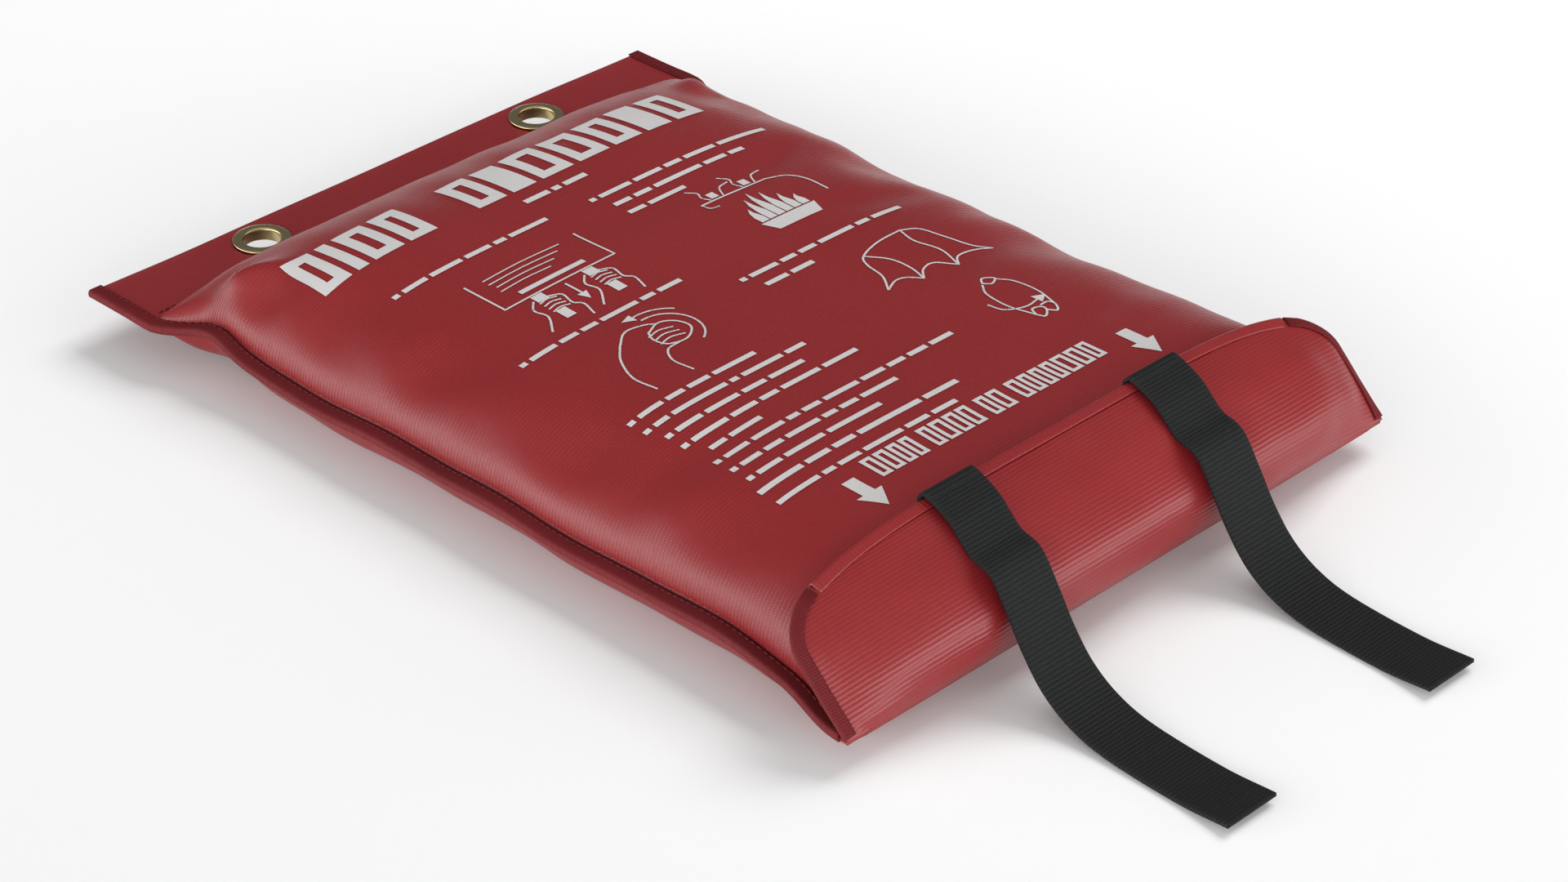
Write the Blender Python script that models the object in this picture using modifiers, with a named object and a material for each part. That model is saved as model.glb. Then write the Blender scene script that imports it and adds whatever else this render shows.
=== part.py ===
"""Fire blanket in a soft hanging pouch, lying on its back with the flap closed.

Metres, +Z up.  +X runs across the pouch, +Y from the mouth to the hanging header.
Inside this script lengths are millimetres (MM turns them into metres) and y is
counted from the mouth corner of the pouch.  The root empty puts the middle of the
whole object's box on the world's origin.
"""

import math

import bmesh
import bpy
from mathutils import Vector

MM = 0.001

# Overall sizes
HALF_WIDTH = 144.4          # middle of the pouch to the cut edge of its panels
HEADER_WIDER = 8.0          # how much further the header's cut edge stands out
CORNER_WIDER = 4.4          # how much further the mouth corners stand out
HEADER_SEAM = 379.0         # seam that closes the compartment under the header
HEADER = 36.0               # from that seam to the header's top edge
HEADER_TOP = HEADER_SEAM + HEADER
SEAM_HEIGHT = 20.0          # side seams above the floor
TOP_HEIGHT = 52.2           # front panel above the floor at the middle
FLOOR_GAP = 0.55            # middle of the back panel's cloth above the floor

# Cloth, tape, webbing and gaps
CLOTH = 1.0                 # coated cloth
TAPE = 0.8                  # binding tape
THREAD = 0.3
TAPE_WIDTH = 7.0            # a leg of the folded binding
HEM_WIDTH = 4.0             # a leg of the folded hems
WEBBING = 1.4
STRAP_WIDTH = 26.0
GAP = 0.3                   # between pieces that touch
TAPE_GAP = 0.4              # between a folded tape and the cloth in it
LIP_GAP = 0.4               # more room in the hem along the flap's curved lip
MARGIN = 8.4                # seam allowance outside the filled compartment

# Shape of the filled compartment
HEADER_RAMP = 79.0          # length over which the fill rises under the header
MOUTH_RAMP = 54.0           # length over which the front panel falls to the mouth
MOUTH_HEIGHT = 40.5         # front panel's middle at the mouth
MOUTH_EDGE = 6.0            # lower edge of the front panel
TOE_RAMP = 33.0             # length over which the back panel rises to the flap

# Flap
FOLD = (-8.0, 11.5)         # fold line, as y and z
FLAP_WIDER = 4.6            # how much further the flap's side edges stand out than the panels
FLAP_HALF = HALF_WIDTH + FLAP_WIDER
LIP_OVER = 3.6              # lip's cloth above that of the front panel
FLAP_CORNER = 18.0          # corner radius of the flap's lip
FLAP_MIDDLE = [FOLD, (-12.6, 21.0), (-10.0, 34.0), (5.0, 46.0), (20.0, 52.3), (33.0, 55.8)]
FLAP_SIDE = [FOLD, (-2.5, 16.5), (5.0, 23.5), (12.5, 31.0), (19.5, 37.6), (27.0, 42.5)]
FLAP_SQUARE = 5.0           # how suddenly the flap turns down at its sides

# Straps
STRAP_SPACING = 112.0
STRAP_DRIFT = -16.0         # sideways, from the lip to the free end
STRAP_LEAVES = (-6.0, 45.6)  # top of a strap where it leaves the flap, as y and z
STRAP_PLAY = 0.25           # from a hinge line to the webbing on each side
STRAP_TAIL = [(-16.0, 34.0), (-25.0, 22.5), (-36.0, 12.0), (-50.0, 5.0), (-68.0, 1.8)]
STRAP_TAIL += [(-100.0, 1.2), (-124.0, 3.6)]
TONGUE = 8.0                # strap end that stands out past the blanket

# Blanket
BLANKET_INSIDE = 20.4       # from the panels' cut edge in to the blanket's side
BLANKET_HALF = HALF_WIDTH - BLANKET_INSIDE
BLANKET_CLEAR = 1.6         # to the front panel
BLANKET_SEAT = 0.4          # to the back panel
BLANKET_CLEAR_UNDER = 4.3   # to the back panel near the mouth, with the sewn strap between
BLANKET_MOUTH = [14.0, 31.0, 48.0, 66.0, 90.0]     # rows of points near the mouth
BLANKET_HEAD = [64.0, 39.0, 27.0, 21.0]            # and near the header, back from its seam
PULL = 45.0                 # how far the blanket comes out as the flap opens

# Eyelets
EYELET_SPACING = 153.0
EYELET_DOWN = 15.5          # eyelet's middle below the header's top edge
EYELET_HOLE = 7.8
EYELET_WALL = 0.7
EYELET_FLANGE = 12.2
FLANGE_HIGH = 1.3
WASHER = 0.8

ROOT_Y = (HEADER_TOP + STRAP_TAIL[-1][0]) / 2

PANEL_COLUMNS = 20
PANEL_FILLED = 0.9          # share of the columns that lies inside the seam allowance
FLAP_COLUMNS = 20
FLAP_ROWS = 14
FLAP_START = 0.02           # start of the flap's cloth past the fold line, as a share of its length

FINISHES = {
    "red_cloth": ((0.300, 0.028, 0.033), 0.42, 0.0),
    "red_tape": ((0.165, 0.014, 0.018), 0.60, 0.0),
    "red_thread": ((0.120, 0.012, 0.014), 0.70, 0.0),
    "black_webbing": ((0.022, 0.024, 0.025), 0.85, 0.0),
    "brass": ((0.620, 0.480, 0.180), 0.25, 1.0),
    "glass_cloth": ((0.780, 0.770, 0.730), 0.80, 0.0),
}


def clear_scene():
    for obj in list(bpy.data.objects):
        bpy.data.objects.remove(obj, do_unlink=True)


def new_collection(name):
    collection = bpy.data.collections.new(name)
    bpy.context.scene.collection.children.link(collection)
    return collection


def make_finishes():
    for name, (colour, roughness, metallic) in FINISHES.items():
        material = bpy.data.materials.new(name)
        material.use_nodes = True
        shader = material.node_tree.nodes["Principled BSDF"]
        shader.inputs["Base Color"].default_value = (*colour, 1.0)
        shader.inputs["Roughness"].default_value = roughness
        shader.inputs["Metallic"].default_value = metallic


def empty(name, parent=None, y=0.0, z=0.0):
    obj = bpy.data.objects.new(name, None)
    obj.parent = parent
    above = parent.get("at", (0.0, 0.0)) if parent else (0.0, 0.0)
    obj.location = (0.0, (y - above[0]) * MM, (z - above[1]) * MM)
    obj["at"] = (y, z)
    parts.objects.link(obj)
    return obj


def add(name, bm, finish, holder):
    """Makes a mesh object of bm, whose points are in the pouch's own frame, under a holder."""
    mesh = bpy.data.meshes.new(name)
    bm.to_mesh(mesh)
    bm.free()
    mesh.materials.append(bpy.data.materials[finish])
    mesh.shade_smooth()
    obj = bpy.data.objects.new(name, mesh)
    parts.objects.link(obj)
    obj.parent = holder
    at = holder["at"]
    obj.location = (0.0, -at[0] * MM, -at[1] * MM)
    return obj


def sheet(name, across, along, place, thickness, finish, holder):
    """A cloth of even thickness; place(u, v) gives its middle, for u and v from -1 to 1."""
    bm = bmesh.new()
    bmesh.ops.create_grid(bm, x_segments=across, y_segments=along, size=1.0)
    for vert in bm.verts:
        vert.co = Vector(place(vert.co.x, vert.co.y)) * MM
    obj = add(name, bm, finish, holder)
    solid = obj.modifiers.new("thickness", "SOLIDIFY")
    solid.thickness = thickness * MM
    solid.offset = 0.0
    solid.use_even_offset = True
    return obj


def smooth(t):
    t = min(max(t, 0.0), 1.0)
    return t * t * (3.0 - 2.0 * t)


def mix(a, b, t):
    return a + (b - a) * t


def tall(point, low=FOLD[1], high=FLAP_MIDDLE[-1][1]):
    """A point near the flap: with a higher front panel it moves up, the more the nearer it is to high."""
    extra = TOP_HEIGHT + LIP_OVER - FLAP_MIDDLE[-1][1]
    return (point[0], point[1] + extra * max(0.0, (point[1] - low) / (high - low)))


def dome(t, power):
    """1 at t = 0, falling to 0 at t = 1 with a round shoulder."""
    t = min(max(abs(t), 0.0), 1.0)
    return math.sqrt(1.0 - t ** power)


def spline(points, t):
    """A point on the smooth curve through the points, for t from 0 to 1."""
    last = len(points) - 1
    i = min(int(t * last), last - 1)
    f = t * last - i
    b, c = points[i], points[i + 1]
    a = points[i - 1] if i else tuple(2 * p - q for p, q in zip(b, c))
    d = points[i + 2] if i + 2 <= last else tuple(2 * q - p for p, q in zip(b, c))
    return tuple(
        0.5 * (2 * q + (r - p) * f + (2 * p - 5 * q + 4 * r - s) * f * f + (3 * q - p - 3 * r + s) * f ** 3)
        for p, q, r, s in zip(a, b, c, d)
    )


# --- Form of the pouch ---------------------------------------------------------------


def edge_x(y):
    """Half the width of the cut panels at y."""
    header = smooth((y - (HEADER_SEAM - 23.0)) / 22.0)
    corner = smooth((30.0 - y) / 30.0)
    return HALF_WIDTH + HEADER_WIDER * header + CORNER_WIDER * corner


def seam_z(y):
    """Height of the side seams at y."""
    return mix(SEAM_HEIGHT, FOLD[1], smooth((55.0 - y) / (55.0 - FOLD[0])))


def front_z(x, y):
    """Middle of the front panel's cloth."""
    seam = seam_z(y) + (CLOTH + GAP) / 2
    inside = edge_x(y) - MARGIN
    if abs(x) >= inside or y >= HEADER_SEAM:
        return seam
    mouth = tall((MOUTH_EDGE, MOUTH_HEIGHT))[1]
    middle = mix(TOP_HEIGHT, mouth, max(0.0, (MOUTH_EDGE + MOUTH_RAMP - y) / MOUTH_RAMP) ** 2.2)
    square = mix(4.6, 6.0, smooth((120.0 - y) / 90.0))
    rise = dome(max(0.0, y - (HEADER_SEAM - HEADER_RAMP)) / HEADER_RAMP, 2.4)
    return seam + (middle - seam) * rise * dome(x / inside, square)


def back_z(x, y):
    """Middle of the back panel's cloth."""
    seam = seam_z(y) - (CLOTH + GAP) / 2
    inside = edge_x(y) - MARGIN
    if abs(x) >= inside or y >= HEADER_SEAM:
        return seam
    toe = max(0.0, (FOLD[0] + TOE_RAMP - y) / TOE_RAMP) ** 2.6
    middle = mix(FLOOR_GAP, FOLD[1], toe)
    fall = dome(max(0.0, y - (HEADER_SEAM - HEADER_RAMP)) / HEADER_RAMP, 5.0)
    return seam + (middle - seam) * fall * dome(x / inside, 14.0)


def panel_rows():
    """Rows of the front panel, close together at the mouth and on the header's ramp."""
    ramp = HEADER_SEAM - HEADER_RAMP
    rows = [mix(MOUTH_EDGE, 75.0, (k / 6) ** 1.2) for k in range(6)]
    rows += [mix(75.0, ramp, k / 6) for k in range(6)]
    rows += [ramp + HEADER_RAMP * math.sin(k / 5 * math.pi / 2) for k in range(5)]
    rows += [mix(HEADER_SEAM, HEADER_TOP, k / 2) for k in range(3)]
    return rows


def back_rows():
    """The front panel's rows, and those of the toe that carries the flap."""
    first = FOLD[0] + CLOTH / 2 + GAP + 0.2
    return [first, mix(first, MOUTH_EDGE, 0.5)] + panel_rows()


def at_row(rows, v):
    return rows[round((v + 1.0) / 2 * (len(rows) - 1))]


def column_x(y, u):
    """Columns of a panel: close together at the sides, and one for the seam allowance."""
    inside = edge_x(y) - MARGIN
    s = abs(u) / PANEL_FILLED
    if s < 1.0 - 1e-6:
        return math.copysign(inside * math.sin(s * math.pi / 2), u)
    return math.copysign(mix(inside, edge_x(y), (abs(u) - PANEL_FILLED) / (1.0 - PANEL_FILLED)), u)


def panel(name, form, rows, holder):
    def place(u, v):
        y = at_row(rows, v)
        x = column_x(y, u)
        return (x, y, form(x, y))

    return sheet(name, PANEL_COLUMNS, len(rows) - 1, place, CLOTH, "red_cloth", holder)


def flap_point(u, t):
    """Middle of the flap's cloth: u runs from side to side, t from the fold to the lip."""
    turn = max(0.0, (t - 0.72) / 0.28)
    half = FLAP_HALF - FLAP_CORNER * (1.0 - math.sqrt(1.0 - min(turn, 1.0) ** 2))
    x = u * half
    middle = tall(spline(FLAP_MIDDLE, t))
    side = tall(spline(FLAP_SIDE, t), FLAP_SIDE[1][1], FLAP_SIDE[-1][1])
    w = min(abs(x) / FLAP_HALF, 1.0) ** FLAP_SQUARE
    return Vector((x, mix(middle[0], side[0], w), mix(middle[1], side[1], w)))


def flap_normal(u, t):
    """Out of the flap, away from the blanket."""
    e = 0.01
    a = flap_point(min(u + e, 1.0), t) - flap_point(max(u - e, -1.0), t)
    b = flap_point(u, min(t + e, 1.0)) - flap_point(u, max(t - e, 0.0))
    return a.cross(b).normalized()


def frame_on_edge(point, inward, normal, v, width, half_inside):
    """A folded tape round an edge: v from -1 to 1 runs from one leg's rim to the other's."""
    inward = (inward - normal * inward.dot(normal)).normalized()
    reach = half_inside + TAPE_GAP + TAPE / 2
    straight = 2 / 3
    if abs(v) > straight + 1e-6:
        along = (abs(v) - straight) / (1.0 - straight) * width
        return point + inward * along + normal * math.copysign(reach, v)
    angle = v / straight * math.pi / 2
    out = TAPE_GAP + TAPE / 2
    return point - inward * out * math.cos(angle) + normal * reach * math.sin(angle)


def folded_tape(name, steps, edge, width, half_inside, finish, holder):
    """edge(s) for s from 0 to 1 gives a point on the edge, the way in and the normal."""

    def place(u, v):
        point, inward, normal = edge((u + 1.0) / 2)
        return frame_on_edge(point, inward, normal, v, width, half_inside)

    return sheet(name, steps, 6, place, TAPE, finish, holder)


# --- Pouch -----------------------------------------------------------------------------


def cut_eyelet_holes(obj):
    bm = bmesh.new()
    for side in (-1, 1):
        ring = bmesh.ops.create_cone(
            bm, cap_ends=True, segments=24, depth=12.0 * MM,
            radius1=(EYELET_HOLE + EYELET_WALL + GAP) * MM, radius2=(EYELET_HOLE + EYELET_WALL + GAP) * MM)
        at = Vector((side * EYELET_SPACING / 2, HEADER_TOP - EYELET_DOWN, SEAM_HEIGHT)) * MM
        bmesh.ops.translate(bm, verts=ring["verts"], vec=at)
    mesh = bpy.data.meshes.new(obj.name + "_holes")
    bm.to_mesh(mesh)
    bm.free()
    cutter = bpy.data.objects.new(obj.name + "_holes", mesh)
    cutter.parent = obj.parent
    cutter.hide_render = True
    cutter.display_type = "WIRE"
    cutters.objects.link(cutter)
    cut = obj.modifiers.new("eyelet_holes", "BOOLEAN")
    cut.object = cutter
    cut.operation = "DIFFERENCE"
    cut.solver = "EXACT"


def make_panels():
    front = panel("front_panel", front_z, panel_rows(), pouch)
    back = panel("back_panel", back_z, back_rows(), pouch)
    cut_eyelet_holes(front)
    cut_eyelet_holes(back)


def make_side_bindings():
    rows = [FOLD[0] + 5.0] + back_rows()[2:]
    rows[-1] += 0.6
    for side, word in ((-1, "left"), (1, "right")):

        def edge(s, side=side):
            y = at_row(rows, 2 * s - 1)
            return Vector((side * edge_x(y), y, seam_z(y))), Vector((-side, 0, 0)), Vector((0, 0, 1))

        stack = CLOTH + GAP / 2
        folded_tape(f"side_binding_{word}", len(rows) - 1, edge, TAPE_WIDTH, stack, "red_tape", pouch)

        def thread(u, v, side=side, stack=stack):
            y = at_row(rows[1:], u)
            x = edge_x(y) - 5.0 + 0.4 * v
            return (side * x, y, seam_z(y) + stack + TAPE_GAP + TAPE + GAP + THREAD / 2)

        sheet(f"side_seam_thread_{word}", len(rows) - 2, 1, thread, THREAD, "red_thread", pouch)


def make_header_seam():
    def thread(u, v):
        half = edge_x(HEADER_SEAM) - TAPE_WIDTH - 2.0
        return (u * half, HEADER_SEAM + 3.0 + 0.4 * v, SEAM_HEIGHT + CLOTH + GAP / 2 + GAP + THREAD / 2)

    sheet("header_seam_thread", 8, 1, thread, THREAD, "red_thread", pouch)


def make_mouth_hem():
    columns = [column_x(MOUTH_EDGE, 2 * k / PANEL_COLUMNS - 1) for k in range(3, PANEL_COLUMNS - 2)]
    line = [Vector((x, MOUTH_EDGE, front_z(x, MOUTH_EDGE))) for x in columns]
    next_row = panel_rows()[1]

    def edge(s):
        i = round(s * (len(line) - 1))
        point = line[i]
        along = line[min(i + 1, len(line) - 1)] - line[max(i - 1, 0)]
        inward = Vector((point.x, next_row, front_z(point.x, next_row))) - point
        return point, inward, along.cross(inward).normalized()

    folded_tape("mouth_hem", len(line) - 1, edge, HEM_WIDTH, CLOTH / 2, "red_cloth", pouch)


def turned(name, profile, x, y, z, finish, holder):
    """A ring turned round Z from a closed outline of (radius, height) points."""
    bm = bmesh.new()
    ring = [bm.verts.new(Vector((x + r, y, z + h)) * MM) for r, h in profile]
    edges = [bm.edges.new((ring[i], ring[(i + 1) % len(ring)])) for i in range(len(ring))]
    bmesh.ops.spin(
        bm, geom=ring + edges, cent=Vector((x, y, z)) * MM, axis=(0, 0, 1),
        angle=2 * math.pi, steps=24, use_merge=True)
    bmesh.ops.remove_doubles(bm, verts=bm.verts, dist=1e-7)
    bmesh.ops.recalc_face_normals(bm, faces=bm.faces)
    return add(name, bm, finish, holder)


def make_eyelets():
    stack = CLOTH + GAP / 2          # half of what the eyelet clamps
    top = stack + GAP
    under = -stack - GAP - WASHER - GAP
    middle = (EYELET_HOLE + EYELET_FLANGE) / 2
    for side, word in ((-1, "left"), (1, "right")):
        x = side * EYELET_SPACING / 2
        y = HEADER_TOP - EYELET_DOWN
        outer = EYELET_HOLE + EYELET_WALL
        profile = [(EYELET_FLANGE, top), (outer, top), (outer, under)]
        profile += [(outer + 1.6, under), (outer + 1.6, under - EYELET_WALL)]
        profile += [(EYELET_HOLE, under - EYELET_WALL), (EYELET_HOLE, top + FLANGE_HIGH * 0.6)]
        profile += [(middle - 1.2, top + FLANGE_HIGH), (middle + 0.6, top + FLANGE_HIGH)]
        profile += [(EYELET_FLANGE, top + 0.45)]
        turned(f"eyelet_{word}", profile, x, y, SEAM_HEIGHT, "brass", pouch)
        low = -stack - GAP - WASHER
        washer = [(outer + GAP, low), (EYELET_FLANGE - 0.4, low), (EYELET_FLANGE - 0.4, low + WASHER)]
        washer += [(outer + GAP, low + WASHER)]
        turned(f"eyelet_washer_{word}", washer, x, y, SEAM_HEIGHT, "brass", pouch)


# --- Flap ------------------------------------------------------------------------------


def flap_column(k):
    """Share of the flap's half width at column k."""
    u = 2 * k / FLAP_COLUMNS - 1
    return math.copysign(math.sin(abs(u) * math.pi / 2), u)


def flap_row(k):
    return mix(FLAP_START, 1.0, k / FLAP_ROWS)


def make_flap():
    def place(u, v):
        column = round((u + 1.0) / 2 * FLAP_COLUMNS)
        row = round((v + 1.0) / 2 * FLAP_ROWS)
        return flap_point(flap_column(column), flap_row(row))

    sheet("flap", FLAP_COLUMNS, FLAP_ROWS, place, CLOTH, "red_cloth", flap)
    first = 2                         # the binding starts clear of the pouch's own
    for side, word in ((-1, "left"), (1, "right")):

        def edge(s, side=side):
            row = first + round(s * (FLAP_ROWS - first))
            t = flap_row(row)
            point = flap_point(side, t)
            before = flap_point(side, flap_row(row - 1))
            after = flap_point(side, flap_row(min(row + 1, FLAP_ROWS)))
            normal = flap_normal(side * 0.97, min(t, 0.98))
            return point, normal.cross(after - before) * side, normal

        folded_tape(f"flap_binding_{word}", FLAP_ROWS - first, edge, HEM_WIDTH, CLOTH / 2, "red_tape", flap)

    inside = 2                        # columns left to the side bindings at each end

    def lip(s):
        column = inside + round(s * (FLAP_COLUMNS - 2 * inside))
        point = flap_point(flap_column(column), 1.0)
        along = flap_point(flap_column(column + 1), 1.0) - flap_point(flap_column(column - 1), 1.0)
        inward = flap_point(flap_column(column), flap_row(FLAP_ROWS - 1)) - point
        inward -= along * (inward.dot(along) / along.length_squared)
        return point, inward, inward.cross(along).normalized()

    columns = FLAP_COLUMNS - 2 * inside
    folded_tape("flap_lip_hem", columns, lip, HEM_WIDTH, CLOTH / 2 + LIP_GAP, "red_cloth", flap)


# --- Straps ----------------------------------------------------------------------------


def strap_x(side, s):
    """Middle of a strap's width; s runs from the lip to the free end."""
    return side * STRAP_SPACING / 2 + STRAP_DRIFT * s


def flap_offset(side, t, away):
    """A point of the strap's run on the flap, that far out of the flap's cloth."""
    u = side * STRAP_SPACING / 2 / FLAP_HALF
    point = flap_point(u, t) + flap_normal(u, t) * away
    return (point.y, point.z)


def webbing(name, points, side, first, last, holder, steps):
    """Webbing on a smooth curve through (y, z) points; first and last are shares of its sideways drift."""

    def place(u, v):
        s = (v + 1.0) / 2
        y, z = spline(points, s)
        return (strap_x(side, mix(first, last, s)) + u * STRAP_WIDTH / 2, y, z)

    return sheet(name, 1, steps, place, WEBBING, "black_webbing", holder)


# A strap's middle from the middle of the cloth, where it crosses the lip's hem
HEM_OUT = CLOTH / 2 + LIP_GAP + TAPE_GAP + TAPE + GAP + WEBBING / 2


def on_lip(forward, out):
    """A point by the lip where the straps cross it: forward past the lip's edge, out of the cloth."""
    u = STRAP_SPACING / 2 / FLAP_HALF
    normal = flap_normal(u, 0.99)
    ahead = Vector((1, 0, 0)).cross(normal) * -1.0
    point = flap_point(u, 1.0) + ahead * forward + normal * out
    return (point.y, point.z)


def lip_axis():
    """Line on the top of a strap about which it turns over the flap's lip."""
    return on_lip(0.0, HEM_OUT + WEBBING / 2)


def make_straps():
    over = CLOTH / 2 + GAP + WEBBING / 2 + 0.4
    middle_drop = Vector((-0.55, -0.83)) * WEBBING / 2      # from a strap's top to its middle at the bend
    leave = Vector(tall(STRAP_LEAVES)) + middle_drop
    down = Vector((-0.83, 0.55)) * STRAP_PLAY
    for side, word in ((-1, "left"), (1, "right")):
        inner = [flap_offset(side, t, -over) for t in (0.12, 0.26, 0.40, 0.54, 0.68, 0.80)]
        inner += [on_lip(forward, -HEM_OUT) for forward in (-6.0, -2.5, 0.0)]
        inner += [on_lip(1.5, -HEM_OUT * 0.72), on_lip(2.3, 0.0), on_lip(1.5, HEM_OUT * 0.80)]
        inner += [on_lip(STRAP_PLAY, HEM_OUT)]
        webbing(f"strap_inner_{word}", inner, side, 0.0, 0.0, flap, 24)
        upper = [on_lip(-STRAP_PLAY, HEM_OUT), on_lip(-3.0, HEM_OUT)]
        upper += [flap_offset(side, t, HEM_OUT) for t in (0.84, 0.76)]
        upper += [flap_offset(side, t, over) for t in (0.68, 0.60)]
        upper += [(leave.x - down.x, leave.y + down.y)]
        webbing(f"strap_upper_{word}", upper, side, 0.0, 0.28, strap[word], 10)
        tail = [(leave.x + down.x, leave.y - down.y)] + [tall(point) for point in STRAP_TAIL]
        webbing(f"strap_tail_{word}", tail, side, 0.28, 1.0, tails[word], 18)


# --- Blanket ---------------------------------------------------------------------------


def blanket_top(x, y):
    """Lowest that the front panel is over this point while the blanket comes out."""
    ways = [max(y - PULL * k / 12, MOUTH_EDGE) for k in range(13)]
    hem = CLOTH / 2 + TAPE_GAP + TAPE
    under = [front_z(x, way) - (hem if way < MOUTH_EDGE + 9.0 else CLOTH / 2) for way in ways]
    return min(under) - BLANKET_CLEAR


def blanket_under(x, y):
    """Highest that the back panel is under this point while the blanket comes out."""
    ways = [max(y - PULL * k / 12, FOLD[0]) for k in range(13)]
    clear = mix(BLANKET_SEAT, BLANKET_CLEAR_UNDER, smooth((90.0 - y) / 24.0))
    return max(back_z(x, way) for way in ways) + CLOTH / 2 + clear


def blanket_rows():
    head = [HEADER_SEAM - back for back in BLANKET_HEAD]
    return BLANKET_MOUTH + [mix(BLANKET_MOUTH[-1], head[0], k / 5) for k in range(1, 5)] + head


def blanket_point(u, row, w):
    """u and w from -1 to 1; the folded cloth is fuller in its middle than at its rims."""
    rows = blanket_rows()
    y = rows[row]
    x = u * BLANKET_HALF
    low = blanket_under(x, y)
    high = blanket_top(x, y)
    end = (0.66, 0.94, 1.0)
    last = len(rows) - 1
    plump = mix(0.45, 1.0, dome(u, 8.0)) * end[min(row, last - row, 2)]
    return Vector((x, y, (low + high) / 2 + w * (high - low) / 2 * plump))


def make_blanket():
    rows = blanket_rows()
    last = len(rows) - 1
    bm = bmesh.new()
    bmesh.ops.create_cube(bm, size=2.0)
    bmesh.ops.subdivide_edges(bm, edges=bm.edges, cuts=last - 1, use_grid_fill=True)
    for vert in bm.verts:
        u = math.copysign(math.sin(abs(vert.co.x) * math.pi / 2), vert.co.x)
        vert.co = blanket_point(u, round((vert.co.y + 1.0) / 2 * last), vert.co.z) * MM
    add("blanket", bm, "glass_cloth", blanket)
    for side, word in ((-1, "left"), (1, "right")):
        middle = strap_x(side, 0.0)

        def under(row):
            spots = [(middle + k * STRAP_WIDTH / 2) / BLANKET_HALF for k in (-1, 0, 1)]
            return min(blanket_point(spot, row, -1.0).z for spot in spots) - GAP - 0.2 - WEBBING / 2

        stations = [(rows[0] - TONGUE, under(0) - 0.6), (rows[0] - 1.0, under(0) - 0.3)]
        stations += [(rows[row], under(row)) for row in (0, 1, 2)]

        def anchor(u, v, middle=middle, stations=stations):
            return (middle + u * STRAP_WIDTH / 2, *at_row(stations, v))

        sheet(f"strap_anchor_{word}", 1, len(stations) - 1, anchor, WEBBING, "black_webbing", blanket)


clear_scene()
parts = new_collection("fire_blanket")
cutters = new_collection("cutters")
make_finishes()
pouch = empty("pouch_frame")
pouch.location = (0.0, -ROOT_Y * MM, 0.0)
pouch["at"] = (0.0, 0.0)
blanket = empty("blanket_slide", pouch)
flap = empty("flap_fold_axis", pouch, *FOLD)
strap = {}
tails = {}
for word in ("left", "right"):
    strap[word] = empty(f"strap_{word}_lip_axis", flap, *lip_axis())
    tails[word] = empty(f"strap_{word}_lift_axis", strap[word], *tall(STRAP_LEAVES))
make_panels()
make_side_bindings()
make_header_seam()
make_mouth_hem()
make_eyelets()
make_flap()
make_straps()
make_blanket()
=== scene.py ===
"""Looks of the fire blanket: a soft red pouch with brass eyelets, pull straps and printed marks.

Lengths in this script are millimetres in the pouch's own frame: x across the pouch, y from
the mouth corner towards the header, z up from the floor.  at() turns them into the frame's
metres.  The cloth follows the CAD's forms and adds what flexible cloth does to them.
"""

import math

import bmesh
import bpy
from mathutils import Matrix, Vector, noise
from mathutils.bvhtree import BVHTree


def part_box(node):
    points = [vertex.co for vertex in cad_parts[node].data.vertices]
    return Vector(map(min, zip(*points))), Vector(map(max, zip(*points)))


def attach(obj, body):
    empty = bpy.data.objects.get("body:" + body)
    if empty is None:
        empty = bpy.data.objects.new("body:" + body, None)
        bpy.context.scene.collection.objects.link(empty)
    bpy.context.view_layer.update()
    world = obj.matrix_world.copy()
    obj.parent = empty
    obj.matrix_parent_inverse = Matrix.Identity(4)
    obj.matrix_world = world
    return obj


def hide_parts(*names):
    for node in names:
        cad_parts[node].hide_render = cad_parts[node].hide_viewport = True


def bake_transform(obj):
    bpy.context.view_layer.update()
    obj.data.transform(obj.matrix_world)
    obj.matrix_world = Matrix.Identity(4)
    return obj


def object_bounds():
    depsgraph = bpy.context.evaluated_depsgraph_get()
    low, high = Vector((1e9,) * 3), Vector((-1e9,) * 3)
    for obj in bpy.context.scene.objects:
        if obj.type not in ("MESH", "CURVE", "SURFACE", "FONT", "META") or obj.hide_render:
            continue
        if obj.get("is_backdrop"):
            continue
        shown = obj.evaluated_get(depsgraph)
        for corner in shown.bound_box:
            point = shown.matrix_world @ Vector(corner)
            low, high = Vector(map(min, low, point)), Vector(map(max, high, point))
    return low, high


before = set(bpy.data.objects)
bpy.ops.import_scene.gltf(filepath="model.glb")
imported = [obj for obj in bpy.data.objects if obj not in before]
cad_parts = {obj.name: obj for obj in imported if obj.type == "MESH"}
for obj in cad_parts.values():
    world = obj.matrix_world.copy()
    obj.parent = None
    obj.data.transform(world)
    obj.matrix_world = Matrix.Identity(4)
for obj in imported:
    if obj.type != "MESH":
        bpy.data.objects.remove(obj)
cad_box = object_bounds()

MM = 0.001

# Sizes of the pouch, as the CAD has them
HALF_WIDTH = 144.4
HEADER_WIDER = 8.0
CORNER_WIDER = 4.4
HEADER_SEAM = 379.0
HEADER_TOP = 415.0
SEAM_HEIGHT = 20.0
TOP_HEIGHT = 52.2
FLOOR_GAP = 0.55
CLOTH = 1.0
TAPE = 0.8
GAP = 0.3
MARGIN = 6.4
HEADER_RAMP = 79.0
MOUTH_RAMP = 54.0
MOUTH_HEIGHT = 40.5
MOUTH_EDGE = 6.0
TOE_RAMP = 33.0
TAPE_WIDTH = 5.4
HEM_WIDTH = 4.0
LIP_GAP = 0.4

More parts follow.
